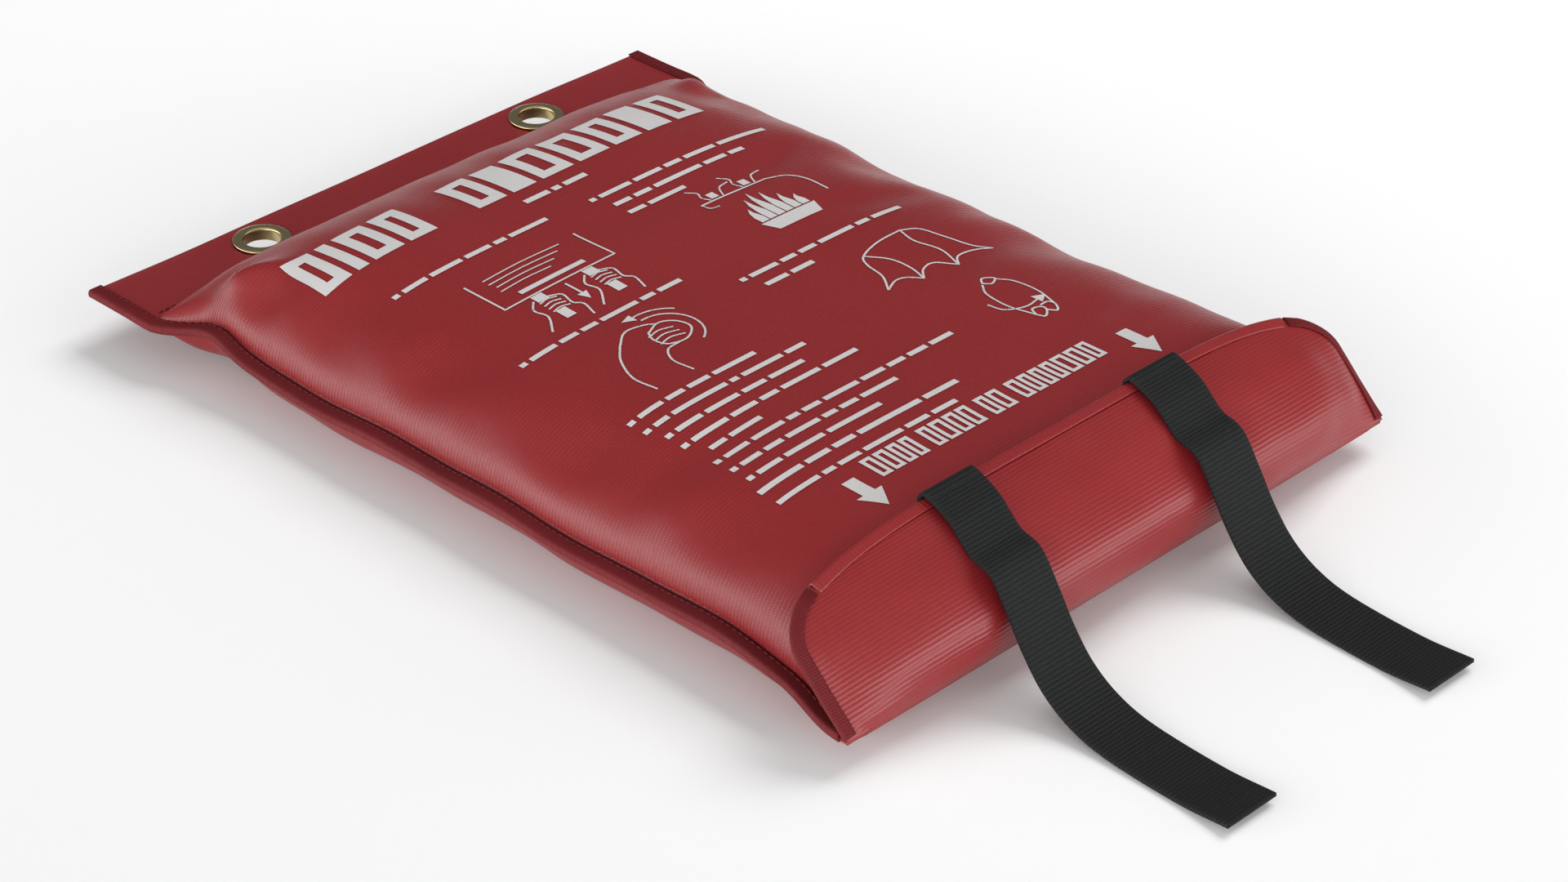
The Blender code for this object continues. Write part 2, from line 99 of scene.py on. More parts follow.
FOLD = (-8.0, 11.5)
FLAP_HALF = 149.0
FLAP_CORNER = 18.0
FLAP_MIDDLE = [FOLD, (-12.6, 21.0), (-10.0, 34.0), (5.0, 46.0), (20.0, 52.3), (33.0, 55.8)]
FLAP_SIDE = [FOLD, (-2.5, 16.5), (5.0, 23.5), (12.5, 31.0), (19.5, 37.6), (27.0, 42.5)]
FLAP_SQUARE = 5.0
FLAP_START = 0.02

WEBBING = 1.4
STRAP_WIDTH = 26.0
STRAP_SPACING = 112.0
STRAP_DRIFT = -16.0
STRAP_LEAVES = (-6.0, 45.6)
STRAP_TAIL = [(-16.0, 34.0), (-25.0, 22.5), (-36.0, 12.0), (-50.0, 5.0), (-68.0, 1.8)]
STRAP_TAIL += [(-100.0, 1.2), (-124.0, 3.6)]

EYELET_SPACING = 153.0
EYELET_DOWN = 15.5
EYELET_HOLE = 7.8
EYELET_WALL = 0.7
EYELET_FLANGE = 12.2
FLANGE_HIGH = 1.3
WASHER = 0.8

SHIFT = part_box("front_panel")[1].y / MM - HEADER_TOP      # pouch frame to the frame's y
SIDES = ((-1, "left"), (1, "right"))

# Colours, linear
RED = (0.258, 0.0165, 0.0190)
RED_DEEP = (0.208, 0.0120, 0.0145)
TAPE_RED = (0.160, 0.0115, 0.0145)
THREAD_RED = (0.080, 0.0065, 0.0085)
INK = (0.56, 0.555, 0.55)
WEB_BLACK = (0.0148, 0.0155, 0.0158)
BRASS = (0.66, 0.53, 0.27)
BRASS_RUBBED = (0.80, 0.72, 0.48)
GLASS_WHITE = (0.72, 0.70, 0.64)


def at(x, y, z):
    """A point of the pouch's own frame, in the frame's metres."""
    return Vector((x * MM, (y + SHIFT) * MM, z * MM))


def smooth(t):
    t = min(max(t, 0.0), 1.0)
    return t * t * (3.0 - 2.0 * t)


def mix(a, b, t):
    return a + (b - a) * t


def dome(t, power):
    """1 at t = 0, falling to 0 at t = 1 with a round shoulder."""
    t = min(max(abs(t), 0.0), 1.0)
    return math.sqrt(1.0 - t ** power)


def bump(t):
    """A soft hump: 1 at t = 0, nearly 0 from t = 2 on."""
    return math.exp(-t * t)


def spline(points, t):
    """A point on the smooth curve through the points, for t from 0 to 1."""
    last = len(points) - 1
    i = min(int(t * last), last - 1)
    f = t * last - i
    b, c = points[i], points[i + 1]
    a = points[i - 1] if i else tuple(2 * p - q for p, q in zip(b, c))
    d = points[i + 2] if i + 2 <= last else tuple(2 * q - p for p, q in zip(b, c))
    return tuple(
        0.5 * (2 * q + (r - p) * f + (2 * p - 5 * q + 4 * r - s) * f * f + (3 * q - p - 3 * r + s) * f ** 3)
        for p, q, r, s in zip(a, b, c, d)
    )


def wander(x, y, size, seed):
    """Smooth irregular height from about -1 to 1, with hills about size wide."""
    return noise.noise(Vector((x / size, y / size, seed * 7.3))) * 1.6


# --- Materials ---


def toned(colour, share):
    return tuple(share * c for c in colour)


def joined(tree, kind, sockets=(), **settings):
    """A shader node with its settings, and its inputs set to values or linked to sockets."""
    node = tree.nodes.new(kind)
    for name, value in settings.items():
        setattr(node, name, value)
    for name, value in sockets:
        socket = node.inputs[name]
        if isinstance(value, bpy.types.NodeSocket):
            tree.links.new(value, socket)
        else:
            socket.default_value = value
    return node


def calc(tree, operation, *values, clamp=False):
    settings = {"operation": operation, "use_clamp": clamp}
    return joined(tree, "ShaderNodeMath", list(enumerate(values)), **settings).outputs[0]


def grain(tree, vector, scale, detail):
    """Noise from 0 to 1."""
    sockets = [("Vector", vector), ("Scale", scale), ("Detail", detail)]
    return joined(tree, "ShaderNodeTexNoise", sockets).outputs["Fac"]


def blend_colour(tree, share, first, second):
    """A mix of two colours; the node's colour inputs are its sixth and seventh."""
    sockets = [(0, share)]
    for index, value in ((6, first), (7, second)):
        linked = isinstance(value, bpy.types.NodeSocket)
        sockets.append((index, value if linked else (*value[:3], 1.0)))
    return joined(tree, "ShaderNodeMix", sockets, data_type="RGBA").outputs[2]


def new_group(name, inputs, outputs):
    tree = bpy.data.node_groups.new(name, "ShaderNodeTree")
    for socket, kind, value in inputs:
        made = tree.interface.new_socket(name=socket, in_out="INPUT", socket_type=kind)
        if value is not None:
            made.default_value = value
    for socket, kind in outputs:
        tree.interface.new_socket(name=socket, in_out="OUTPUT", socket_type=kind)
    entry = tree.nodes.new("NodeGroupInput")
    leave = tree.nodes.new("NodeGroupOutput")
    return tree, entry.outputs, leave.inputs


def make_rib_group():
    """Ribs across the cloth with finer yarns between them. The vector is metres along the cloth."""
    floats = [("Pitch", 0.0012), ("Yarn", 0.0005), ("Waver", 0.3)]
    inputs = [("Vector", "NodeSocketVector", None)]
    inputs += [(name, "NodeSocketFloat", value) for name, value in floats]
    outputs = [("Height", "NodeSocketFloat"), ("Groove", "NodeSocketFloat")]
    tree, given, out = new_group("ribbed_weave", inputs, outputs)
    parts = joined(tree, "ShaderNodeSeparateXYZ", [("Vector", given["Vector"])])
    shift = calc(tree, "MULTIPLY", grain(tree, given["Vector"], 160.0, 2.0), given["Waver"])
    turns = calc(tree, "ADD", calc(tree, "DIVIDE", parts.outputs["Y"], given["Pitch"]), shift)
    rib = calc(tree, "SINE", calc(tree, "MULTIPLY", turns, 2 * math.pi))
    rib = calc(tree, "MULTIPLY_ADD", rib, 0.5, 0.5)
    yarns = calc(tree, "DIVIDE", parts.outputs["X"], given["Yarn"])
    yarns = calc(tree, "ADD", yarns, calc(tree, "MULTIPLY", turns, 0.5))
    yarn = calc(tree, "SINE", calc(tree, "MULTIPLY", yarns, 2 * math.pi))
    height = calc(tree, "MULTIPLY_ADD", yarn, 0.16, rib)
    tree.links.new(height, out["Height"])
    tree.links.new(calc(tree, "POWER", calc(tree, "SUBTRACT", 1.0, rib), 2.0), out["Groove"])
    return tree


def make_mottle_group():
    """Slow and quick unevenness of tone, from 0 to 1."""
    inputs = [("Vector", "NodeSocketVector", None), ("Size", "NodeSocketFloat", 0.05)]
    outputs = [("Slow", "NodeSocketFloat"), ("Quick", "NodeSocketFloat")]
    tree, given, out = new_group("mottle", inputs, outputs)
    scale = calc(tree, "DIVIDE", 1.0, given["Size"])
    fine = calc(tree, "MULTIPLY", scale, 28.0)
    tree.links.new(grain(tree, given["Vector"], scale, 3.0), out["Slow"])
    tree.links.new(grain(tree, given["Vector"], fine, 2.0), out["Quick"])
    return tree


def make_rub_group():
    """Where an edge is rubbed: the rim attribute, broken up by grain."""
    inputs = [("Vector", "NodeSocketVector", None), ("Amount", "NodeSocketFloat", 0.5)]
    tree, given, out = new_group("edge_rub", inputs, [("Mask", "NodeSocketFloat")])
    rim = joined(tree, "ShaderNodeAttribute", attribute_name="rim").outputs["Fac"]
    broken = calc(tree, "MULTIPLY", rim, grain(tree, given["Vector"], 420.0, 4.0))
    tree.links.new(calc(tree, "MULTIPLY", broken, given["Amount"], clamp=True), out["Mask"])
    return tree


def place_group(tree, group, **values):
    return joined(tree, "ShaderNodeGroup", values.items(), node_tree=group).outputs


def new_material(name, roughness, metallic=0.0, specular=0.5):
    material = bpy.data.materials.new(name)
    material.use_nodes = True
    tree = material.node_tree
    shader = tree.nodes["Principled BSDF"]
    shader.inputs["Roughness"].default_value = roughness
    shader.inputs["Metallic"].default_value = metallic
    shader.inputs["Specular IOR Level"].default_value = specular
    return material, tree, shader, tree.nodes.new("ShaderNodeTexCoord").outputs


def surface(tree, shader, colour, roughness, height, distance):
    """Links what the shader's colour, roughness and relief come from."""
    sockets = [("Height", height), ("Distance", distance), ("Strength", 1.0)]
    relief = joined(tree, "ShaderNodeBump", sockets).outputs["Normal"]
    for name, value in (("Base Color", colour), ("Roughness", roughness), ("Normal", relief)):
        tree.links.new(value, shader.inputs[name])


def woven_material(
        name, light, deep, pitch, yarn, relief, roughness, rub, specular=0.5, groove_shade=0.25, follows="UV"):
    """Ribbed cloth, tape or webbing: colour, gloss and relief all follow its weave, with painted shade in the
    weave's grooves.
    """
    material, tree, shader, where = new_material(name, roughness, specular=specular)
    weave = place_group(tree, RIBS, Vector=where[follows], Pitch=pitch, Yarn=yarn, Waver=0.25)
    tone = place_group(tree, MOTTLE, Vector=where["Object"], Size=0.06)
    worn = place_group(tree, RUB, Vector=where["Object"], Amount=rub)
    shade = calc(tree, "MULTIPLY_ADD", tone["Slow"], 0.9, calc(tree, "MULTIPLY", tone["Quick"], 0.25))
    base = blend_colour(tree, shade, deep, light)
    # painted shade: the weave's grooves are darkened towards a deeper tone of the cloth
    hollow = calc(tree, "MULTIPLY", weave["Groove"], groove_shade)
    base = blend_colour(tree, hollow, base, toned(deep, 0.55))
    paler = tuple(min(1.0, 1.5 * c + 0.03) for c in light)
    base = blend_colour(tree, worn["Mask"], base, paler)
    gloss = calc(tree, "MULTIPLY_ADD", tone["Quick"], 0.16, roughness - 0.08)
    gloss = calc(tree, "MULTIPLY_ADD", weave["Groove"], 0.10, gloss)
    height = calc(tree, "MULTIPLY_ADD", tone["Quick"], 0.35, weave["Height"])
    surface(tree, shader, base, gloss, height, relief)
    return material


def make_ink_material():
    material, tree, shader, where = new_material("printing_ink", 0.62, specular=0.35)
    weave = place_group(tree, RIBS, Vector=where["UV"], Pitch=0.0012, Yarn=0.0006, Waver=0.25)
    tone = place_group(tree, MOTTLE, Vector=where["Object"], Size=0.02)
    base = blend_colour(tree, calc(tree, "MULTIPLY", tone["Quick"], 0.35), INK, toned(INK, 0.8))
    base = blend_colour(tree, calc(tree, "MULTIPLY", weave["Groove"], 0.10), base, RED)
    gloss = calc(tree, "MULTIPLY_ADD", tone["Slow"], 0.2, 0.52)
    surface(tree, shader, base, gloss, weave["Height"], 0.00004)
    return material


def make_brass_material():
    material, tree, shader, where = new_material("brass_plate", 0.24, metallic=1.0)
    tone = place_group(tree, MOTTLE, Vector=where["Object"], Size=0.006)
    worn = place_group(tree, RUB, Vector=where["Object"], Amount=0.6)
    base = blend_colour(tree, tone["Slow"], toned(BRASS, 0.86), BRASS)
    base = blend_colour(tree, worn["Mask"], base, BRASS_RUBBED)
    gloss = calc(tree, "MULTIPLY_ADD", tone["Quick"], 0.14, 0.16)
    surface(tree, shader, base, gloss, tone["Quick"], 0.00001)
    return material


def make_thread_material():
    material, tree, shader, where = new_material("sewing_thread", 0.7, specular=0.3)
    tone = place_group(tree, MOTTLE, Vector=where["Object"], Size=0.01)
    twist = joined(tree, "ShaderNodeTexWave", [("Vector", where["Object"]), ("Scale", 900.0)])
    base = blend_colour(tree, tone["Quick"], THREAD_RED, TAPE_RED)
    gloss = calc(tree, "MULTIPLY_ADD", tone["Slow"], 0.2, 0.6)
    surface(tree, shader, base, gloss, twist.outputs["Fac"], 0.00003)
    return material


def make_floor_material():
    material, tree, shader, where = new_material("studio_floor", 0.75, specular=0.25)
    tone = place_group(tree, MOTTLE, Vector=where["Object"], Size=0.8)
    base = blend_colour(tree, tone["Slow"], (0.885, 0.885, 0.888), (0.90, 0.90, 0.902))
    tree.links.new(base, shader.inputs["Base Color"])
    return material


RIBS = make_rib_group()
MOTTLE = make_mottle_group()
RUB = make_rub_group()
# Weaves: rib pitch, yarn pitch and height of the relief in metres, then the surface and how much painted
# shade darkens the grooves
CLOTH_WEAVE = {"pitch": 0.00175, "yarn": 0.0009, "relief": 0.00009, "roughness": 0.32, "rub": 0.20}
TAPE_WEAVE = {"pitch": 0.0011, "yarn": 0.0008, "relief": 0.00012, "roughness": 0.66, "rub": 0.5}
WEB_WEAVE = {"pitch": 0.0018, "yarn": 0.0012, "relief": 0.00026, "roughness": 0.80, "rub": 0.12}
WEB_WEAVE |= {"specular": 0.25, "groove_shade": 0.6}
GLASS_WEAVE = {"pitch": 0.0011, "yarn": 0.0011, "relief": 0.00012, "roughness": 0.70, "rub": 0.3}
# a deeper tone of the webbing: the dark end of its random tone, and the base of the painted shade in its
# grooves
WEB_DEEP = toned(WEB_BLACK, 0.75)

COATED_CLOTH = woven_material("coated_cloth", RED, RED_DEEP, **CLOTH_WEAVE)
BINDING = woven_material("binding_tape", TAPE_RED, THREAD_RED, specular=0.2, **TAPE_WEAVE)
WEB = woven_material("pull_webbing", WEB_BLACK, WEB_DEEP, **WEB_WEAVE)
GLASS = woven_material("glass_cloth", GLASS_WHITE, toned(GLASS_WHITE, 0.85), **GLASS_WEAVE)
# CAD nodes have no UV map, so their weave follows their own axes
HEM = woven_material("hem_cloth", RED, RED_DEEP, follows="Object", **CLOTH_WEAVE)
SEWN_WEB = woven_material("sewn_webbing", WEB_BLACK, WEB_DEEP, follows="Object", **WEB_WEAVE)
PRINT = make_ink_material()
METAL = make_brass_material()
THREAD = make_thread_material()


# --- Making pieces ---


def placed(name, data):
    obj = bpy.data.objects.new(name, data)
    bpy.context.scene.collection.objects.link(obj)
    return obj


def settle(obj):
    """Puts a piece's modifiers into its mesh."""
    bpy.context.view_layer.update()
    solid = bpy.data.meshes.new_from_object(obj.evaluated_get(bpy.context.evaluated_depsgraph_get()))
    obj.modifiers.clear()
    obj.data = solid
    obj.data.shade_smooth()
    return obj


def put(name, bm, material):
    mesh = bpy.data.meshes.new(name)
    bm.to_mesh(mesh)
    bm.free()
    mesh.materials.append(material)
    mesh.shade_smooth()
    return placed(name, mesh)


def lengths(points):
    """How far along a line of points each of them is."""
    runs = [0.0]
    for a, b in zip(points, points[1:]):
        runs.append(runs[-1] + (b - a).length)
    return runs


def woven(name, columns, rows, place, thickness, material, rim, drop=None, crosswise=False):
    """A cloth whose middle is place(u, v) for u and v from 0 to 1.

    Its UV map is metres along the cloth.  rim(u, v) says how rubbed it is there; drop(point)
    names the parts that are cut away; crosswise turns the weave, for tapes that run along u.
    """
    grid = [[place(i / columns, j / rows) for j in range(rows + 1)] for i in range(columns + 1)]
    along = [lengths(line) for line in grid]
    across = [lengths(line) for line in zip(*grid)]
    half, middle = columns // 2, rows // 2
    bm = bmesh.new()
    uv = bm.loops.layers.uv.new("cloth")
    rub = bm.verts.layers.float.new("rim")
    bmesh.ops.create_grid(bm, x_segments=columns, y_segments=rows, size=0.5)
    cell = {}
    for vert in bm.verts:
        i = round((vert.co.x + 0.5) * columns)
        j = round((vert.co.y + 0.5) * rows)
        cell[vert] = (i, j)
        vert[rub] = rim(i / columns, j / rows)
    for face in bm.faces:
        for loop in face.loops:
            i, j = cell[loop.vert]
            run = along[i][j] - along[i][middle] + along[half][middle]
            flat = ((across[j][i] - across[j][half]) * MM, run * MM)
            loop[uv].uv = flat[::-1] if crosswise else flat
    for vert, (i, j) in cell.items():
        vert.co = at(*grid[i][j])
    if drop:
        gone = [face for face in bm.faces if drop(face.calc_center_median())]
        bmesh.ops.delete(bm, geom=gone, context="FACES")
    obj = put(name, bm, material)
    solid = obj.modifiers.new("thickness", "SOLIDIFY")
    solid.thickness = thickness * MM
    solid.offset = 0.0
    solid.use_even_offset = True
    return settle(obj)


def dress(obj, body, stands_for=()):
    """The piece rides on a body and stands for CAD nodes."""
    if body:
        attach(obj, body)
    if stands_for:
        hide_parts(*stands_for)
    return obj


# --- Form of the pouch ---

DROOP = 1.2            # how much lower the seam allowance lies at its edge than at its stitches
BACK_SQUARE = 22.0     # how square the back panel turns up to its seams
BACK_BULGE = 3.2       # how far its sides bulge outwards below them
PANEL_SHARE = 0.95     # share of a panel's columns that lie inside its side seams
EYELET_CUT = EYELET_HOLE + 2.4      # radius of the cloth cut away for an eyelet

# Dents in the face: middle x and y, length, width, depth and lean in radians
DENTS = [
    (88.0, 262.0, 34.0, 9.0, 1.5, 0.35),
    (96.0, 206.0, 30.0, 10.0, 1.3, -0.30),
    (92.0, 150.0, 36.0, 11.0, 1.2, 0.20),
    (20.0, 268.0, 46.0, 12.0, 0.7, 0.10),
    (-60.0, 222.0, 40.0, 13.0, 0.7, -0.15),
    (-96.0, 120.0, 30.0, 12.0, 1.1, 0.10),
    (-20.0, 60.0, 60.0, 8.0, 0.8, 0.05),
    (74.0, 84.0, 38.0, 10.0, 0.9, 0.12),
]


def edge_x(y):
    """Half the width of the cut panels at y."""
    header = smooth((y - (HEADER_SEAM - 23.0)) / 22.0)
    corner = smooth((30.0 - y) / 30.0)
    return HALF_WIDTH + HEADER_WIDER * header + CORNER_WIDER * corner


def seam_z(y):
    return mix(SEAM_HEIGHT, FOLD[1], smooth((55.0 - y) / (55.0 - FOLD[0])))


def seam_pull(side, y):
    """How far the filled cloth pulls a side seam inwards and upwards from its straight line."""
    filled = smooth((y - 30.0) / 40.0) * smooth((HEADER_SEAM + 6.0 - y) / 30.0)
    corner = bump((y - 347.0) / (11.0 if side < 0 else 14.0))
    up = 3.6 * corner * (1.0 if side < 0 else 0.4)
    up += filled * 1.5 * wander(side * 40.0, y, 52.0, 3)
    inward = filled * (0.6 + 1.2 * wander(side * 90.0, y, 60.0, 5))
    return inward, up


def droop(y):
    return DROOP * smooth((y - 40.0) / 50.0) * smooth((HEADER_SEAM - 12.0 - y) / 40.0)


def seamed(x, y, z):
    """The point moved with the side seam beside it, less and less towards the middle."""
    side = -1 if x < 0 else 1
    z -= droop(y) * max(0.0, (abs(x) - edge_x(y) + MARGIN) / MARGIN)
    inward, up = seam_pull(side, y)
    share = smooth((abs(x) - (edge_x(y) - 60.0)) / (60.0 - MARGIN))
    return Vector((x - side * inward * share, y, z + up * share))


def front_z(x, y):
    """Middle of the front panel's cloth."""
    seam = seam_z(y) + (CLOTH + GAP) / 2
    inside = edge_x(y) - MARGIN
    if abs(x) >= inside or y >= HEADER_SEAM:
        return seam
    fall = max(0.0, (MOUTH_EDGE + MOUTH_RAMP - y) / MOUTH_RAMP) ** 2.2
    middle = mix(TOP_HEIGHT, MOUTH_HEIGHT, fall)
    square = mix(4.6, 6.0, smooth((120.0 - y) / 90.0))
    rise = dome(max(0.0, y - (HEADER_SEAM - HEADER_RAMP)) / HEADER_RAMP, 2.4)
    return seam + (middle - seam) * rise * dome(x / inside, square)


def back_z(x, y):
    """Middle of the back panel's cloth."""
    seam = seam_z(y) - (CLOTH + GAP) / 2
    inside = edge_x(y) - MARGIN
    if abs(x) >= inside or y >= HEADER_SEAM:
        return seam
    toe = max(0.0, (FOLD[0] + TOE_RAMP - y) / TOE_RAMP) ** 2.6
    middle = mix(FLOOR_GAP, FOLD[1], toe)
    fall = dome(max(0.0, y - (HEADER_SEAM - HEADER_RAMP)) / HEADER_RAMP, 5.0)
    return seam + (middle - seam) * fall * dome(x / inside, BACK_SQUARE)


def outward(form, x, y):
    """Which way a panel's cloth faces at x, y."""
    e = 0.6
    slope_x = (form(x + e, y) - form(x - e, y)) / (2 * e)
    slope_y = (form(x, y + e) - form(x, y - e)) / (2 * e)
    return Vector((-slope_x, -slope_y, 1.0)).normalized()


def filled(x, y):
    """1 over the filled compartment, falling to 0 at its seams."""
    inside = edge_x(y) - MARGIN
    sideways = smooth((inside - abs(x)) / 14.0)
    return sideways * smooth((HEADER_SEAM - y) / 12.0) * smooth((y - MOUTH_EDGE) / 18.0)


def front_relief(x, y):
    """Wrinkles and dents of the front panel, out of the cloth."""
    inside = edge_x(y) - MARGIN
    edge = abs(x) / inside
    near_seam = smooth((edge - 0.62) / 0.3)
    height = 0.55 * wander(x, y, 75.0, 1) * (1.0 - 0.5 * near_seam)
    # puckers that run in from the side seams
    height += 1.5 * near_seam * wander(x * 0.35, y, 26.0, 2)
    # the scalloped shoulder where the face turns down to the sides
    height += 2.3 * bump((abs(x) - 116.0) / 13.0) * wander(math.copysign(50.0, x), y, 44.0, 6)
    # gathers under the header seam
    under_header = bump((y - 352.0) / 22.0)
    height += 0.9 * under_header * wander(x, y * 0.3, 24.0, 4)
    # the pinched header corners: a ridge running in from the seam's end, a hollow beside it
    for side, deep in ((-1, 1.0), (1, 0.55)):
        along = (side * x - 127.0) / 13.0
        height += deep * 4.6 * bump(along) * bump((y - 352.0 - 0.35 * (side * x - 127.0)) / 7.0)
        height -= deep * 2.6 * bump((side * x - 126.0) / 11.0) * bump((y - 334.0) / 9.0)
    # long soft dents
    for spot_x, spot_y, long, wide, deep, lean in DENTS:
        dx = x - spot_x
        dy = y - spot_y
        run = dx * math.cos(lean) + dy * math.sin(lean)
        over = dy * math.cos(lean) - dx * math.sin(lean)
        height -= deep * bump(run / long) * bump(over / wide)
    return height * filled(x, y)


def panel_x(y, u):
    """Across a panel for u from 0 to 1: closer at the sides, with the seam allowance last."""
    t = 2.0 * u - 1.0
    inside = edge_x(y) - MARGIN
    s = abs(t) / PANEL_SHARE
    if s < 1.0:
        x = inside * math.sin(s * math.pi / 2)
    else:
        x = mix(inside, edge_x(y), (s - 1.0) / (1.0 / PANEL_SHARE - 1.0))
    return math.copysign(x, t)


def panel_y(first, v):
    """Along a panel for v from 0 to 1: closer on the ramp below the header."""
    ramp = HEADER_SEAM - HEADER_RAMP
    if v < 0.60:
        return mix(first, ramp, v / 0.60)
    if v < 0.90:
        return ramp + HEADER_RAMP * math.sin((v - 0.60) / 0.30 * math.pi / 2)
    return mix(HEADER_SEAM, HEADER_TOP, (v - 0.90) / 0.10)


def over_eyelet(point):
    """Whether a point of the header lies in an eyelet's hole."""
    spots = [at(side * EYELET_SPACING / 2, HEADER_TOP - EYELET_DOWN, SEAM_HEIGHT) for side, _ in SIDES]
    return any((point - spot).length < EYELET_CUT * MM for spot in spots)


def header_sag(x, y):
    """The unfilled header bows a little between its eyelets."""
    share = smooth((y - HEADER_SEAM) / 14.0)
    return share * (0.5 * wander(x, y, 70.0, 8) - 0.5 * bump(x / 60.0))


def back_relief(x, y):
    """The back panel's bulge beside its seams, out of the pouch."""
    inside = edge_x(y) - MARGIN
    near_seam = smooth((abs(x) / inside - 0.86) / 0.10)
    return -near_seam * (BACK_BULGE + 0.9 * wander(x * 0.3, y, 30.0, 9)) * filled(x, y)


def panel_point(form, relief, first, u, v):
    y = panel_y(first, v)
    x = panel_x(y, u)
    point = Vector((x, y, form(x, y) + header_sag(x, y)))
    height = relief(x, y)
    if abs(height) > 1e-4:
        point += outward(form, x, y) * height
    return seamed(*point)


def front_point(u, v):
    return panel_point(front_z, front_relief, MOUTH_EDGE, u, v)


def back_point(u, v):
    point = panel_point(back_z, back_relief, FOLD[0] + 1.0, u, v)
    point.z = max(point.z, FLOOR_GAP)
    return point


def panel_rim(u, v):
    """Rubbed edges: along the side seams and the header's top."""
    return max(smooth((abs(2 * u - 1) - 0.93) / 0.05), smooth((v - 0.985) / 0.015))


def make_panels():
    front = woven("front_cloth", 150, 200, front_point, CLOTH * 0.9, COATED_CLOTH, panel_rim, over_eyelet)
    back = woven("back_cloth", 120, 170, back_point, CLOTH * 0.9, COATED_CLOTH, panel_rim, over_eyelet)
    dress(front, "pouch", ["front_panel"])
    dress(back, "pouch", ["back_panel"])
    return front


# --- Tapes and stitches ---

TAPE_RING = 14          # facets of a tape from one edge round to the other
STITCH_LENGTH = 2.5
SIDE_STITCHES = 126
HEADER_STITCHES = 92
STITCH_INSET = 4.2      # of the side stitches from the pouch's edge


def folded_tape(name, stations, width, half_inside, thickness, material, edge):
    """A tape folded round an edge; edge(s) gives a point on it, the way in and the normal."""

    def place(u, v):
        point, inward, normal = edge(u)
        inward = (inward - normal * inward.dot(normal)).normalized()
        reach = half_inside + thickness / 2 + 0.08
        turn = 2.0 * v - 1.0
        round_share = 0.3
        if abs(turn) > round_share:
            run = (abs(turn) - round_share) / (1.0 - round_share) * width
            return point + inward * run + normal * math.copysign(reach, turn)
        angle = turn / round_share * math.pi / 2
        out = (thickness / 2 + 0.5) * math.cos(angle)
        return point - inward * out + normal * reach * math.sin(angle)

    def rim(u, v):
        return bump((v - 0.5) / 0.12) * 0.9

    return woven(name, stations, TAPE_RING, place, thickness, material, rim, crosswise=True)


def side_edge(side, first, last):
    def edge(s):
        y = mix(first, last, s)
        point = seamed(side * edge_x(y), y, seam_z(y) + header_sag(side * edge_x(y), y))
        slope = math.atan(droop(y) / MARGIN)
        inward = Vector((-side * math.cos(slope), 0.0, math.sin(slope)))
        return point, inward, Vector((side * math.sin(slope), 0.0, math.cos(slope)))

    return edge


def stitch_row(name, spots):
    """Single stitches lying along a seam; spots are (point, direction, normal)."""
    bm = bmesh.new()
    for point, direction, normal in spots:
        made = bmesh.ops.create_uvsphere(bm, u_segments=8, v_segments=5, radius=0.5)
        across = normal.cross(direction).normalized()
        for vert in made["verts"]:
            along, wide, high = vert.co.z * STITCH_LENGTH, vert.co.x * 0.75, vert.co.y * 0.55
            vert.co = at(*(point + direction * along + across * wide + normal * high))
    bmesh.ops.recalc_face_normals(bm, faces=bm.faces)
    return dress(put(name, bm, THREAD), "pouch")


def make_side_bindings():
    first = FOLD[0] + 5.0
    for side, word in SIDES:
        edge = side_edge(side, first, HEADER_TOP + 0.6)
        tape = folded_tape(
            f"binding_{word}", 260, TAPE_WIDTH, CLOTH + GAP / 2, TAPE * 0.75, BINDING, edge)
        dress(tape, "pouch", [f"side_binding_{word}"])
        spots = []
        for k in range(SIDE_STITCHES):
            s = (k + 0.5) / SIDE_STITCHES
            point, inward, normal = edge(s)
            ahead = edge(min(s + 0.004, 1.0))[0] - edge(max(s - 0.004, 0.0))[0]
            lift = CLOTH + GAP / 2 + TAPE + 0.10
            spots.append((point + inward * STITCH_INSET + normal * lift, ahead.normalized(), normal))
        stitches = stitch_row(f"binding_stitches_{word}", spots)
        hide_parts(f"side_seam_thread_{word}")


def make_header_stitches():
    spots = []
    half = edge_x(HEADER_SEAM) - TAPE_WIDTH - 3.0
    for k in range(HEADER_STITCHES):
        x = mix(-half, half, (k + 0.5) / HEADER_STITCHES)
        y = HEADER_SEAM + 3.0
        z = SEAM_HEIGHT + CLOTH + GAP + 0.1 + header_sag(x, y)
        spots.append((seamed(x, y, z), Vector((1.0, 0.0, 0.0)), Vector((0.0, 0.0, 1.0))))
    stitches = stitch_row("header_stitches", spots)
    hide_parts("header_seam_thread")


# --- Eyelets ---


def arc(r, h, radius, start, end, steps):
    """Points of an arc round (r, h), from one angle to another in degrees."""
    angles = [math.radians(mix(start, end, k / steps)) for k in range(steps + 1)]
    return [(r + radius * math.cos(angle), h + radius * math.sin(angle)) for angle in angles]


def turned(name, profile, x, y, z):
    """A ring turned round a standing line from a closed outline of (radius, height) points."""
    bm = bmesh.new()
    ring = [bm.verts.new(at(x + r, y, z + h)) for r, h in profile]
    edges = [bm.edges.new((a, b)) for a, b in zip(ring, ring[1:] + ring[:1])]
    bmesh.ops.spin(
        bm, geom=ring + edges, cent=at(x, y, z), axis=(0, 0, 1), angle=2 * math.pi, steps=96, use_merge=True)
    bmesh.ops.remove_doubles(bm, verts=bm.verts, dist=1e-7)
    bmesh.ops.recalc_face_normals(bm, faces=bm.faces)
    rub = bm.verts.layers.float.new("rim")
    top = max(vert.co.z for vert in bm.verts)
    for vert in bm.verts:
        vert[rub] = smooth(1.0 - (top - vert.co.z) / (0.8 * MM))
    return put(name, bm, METAL)


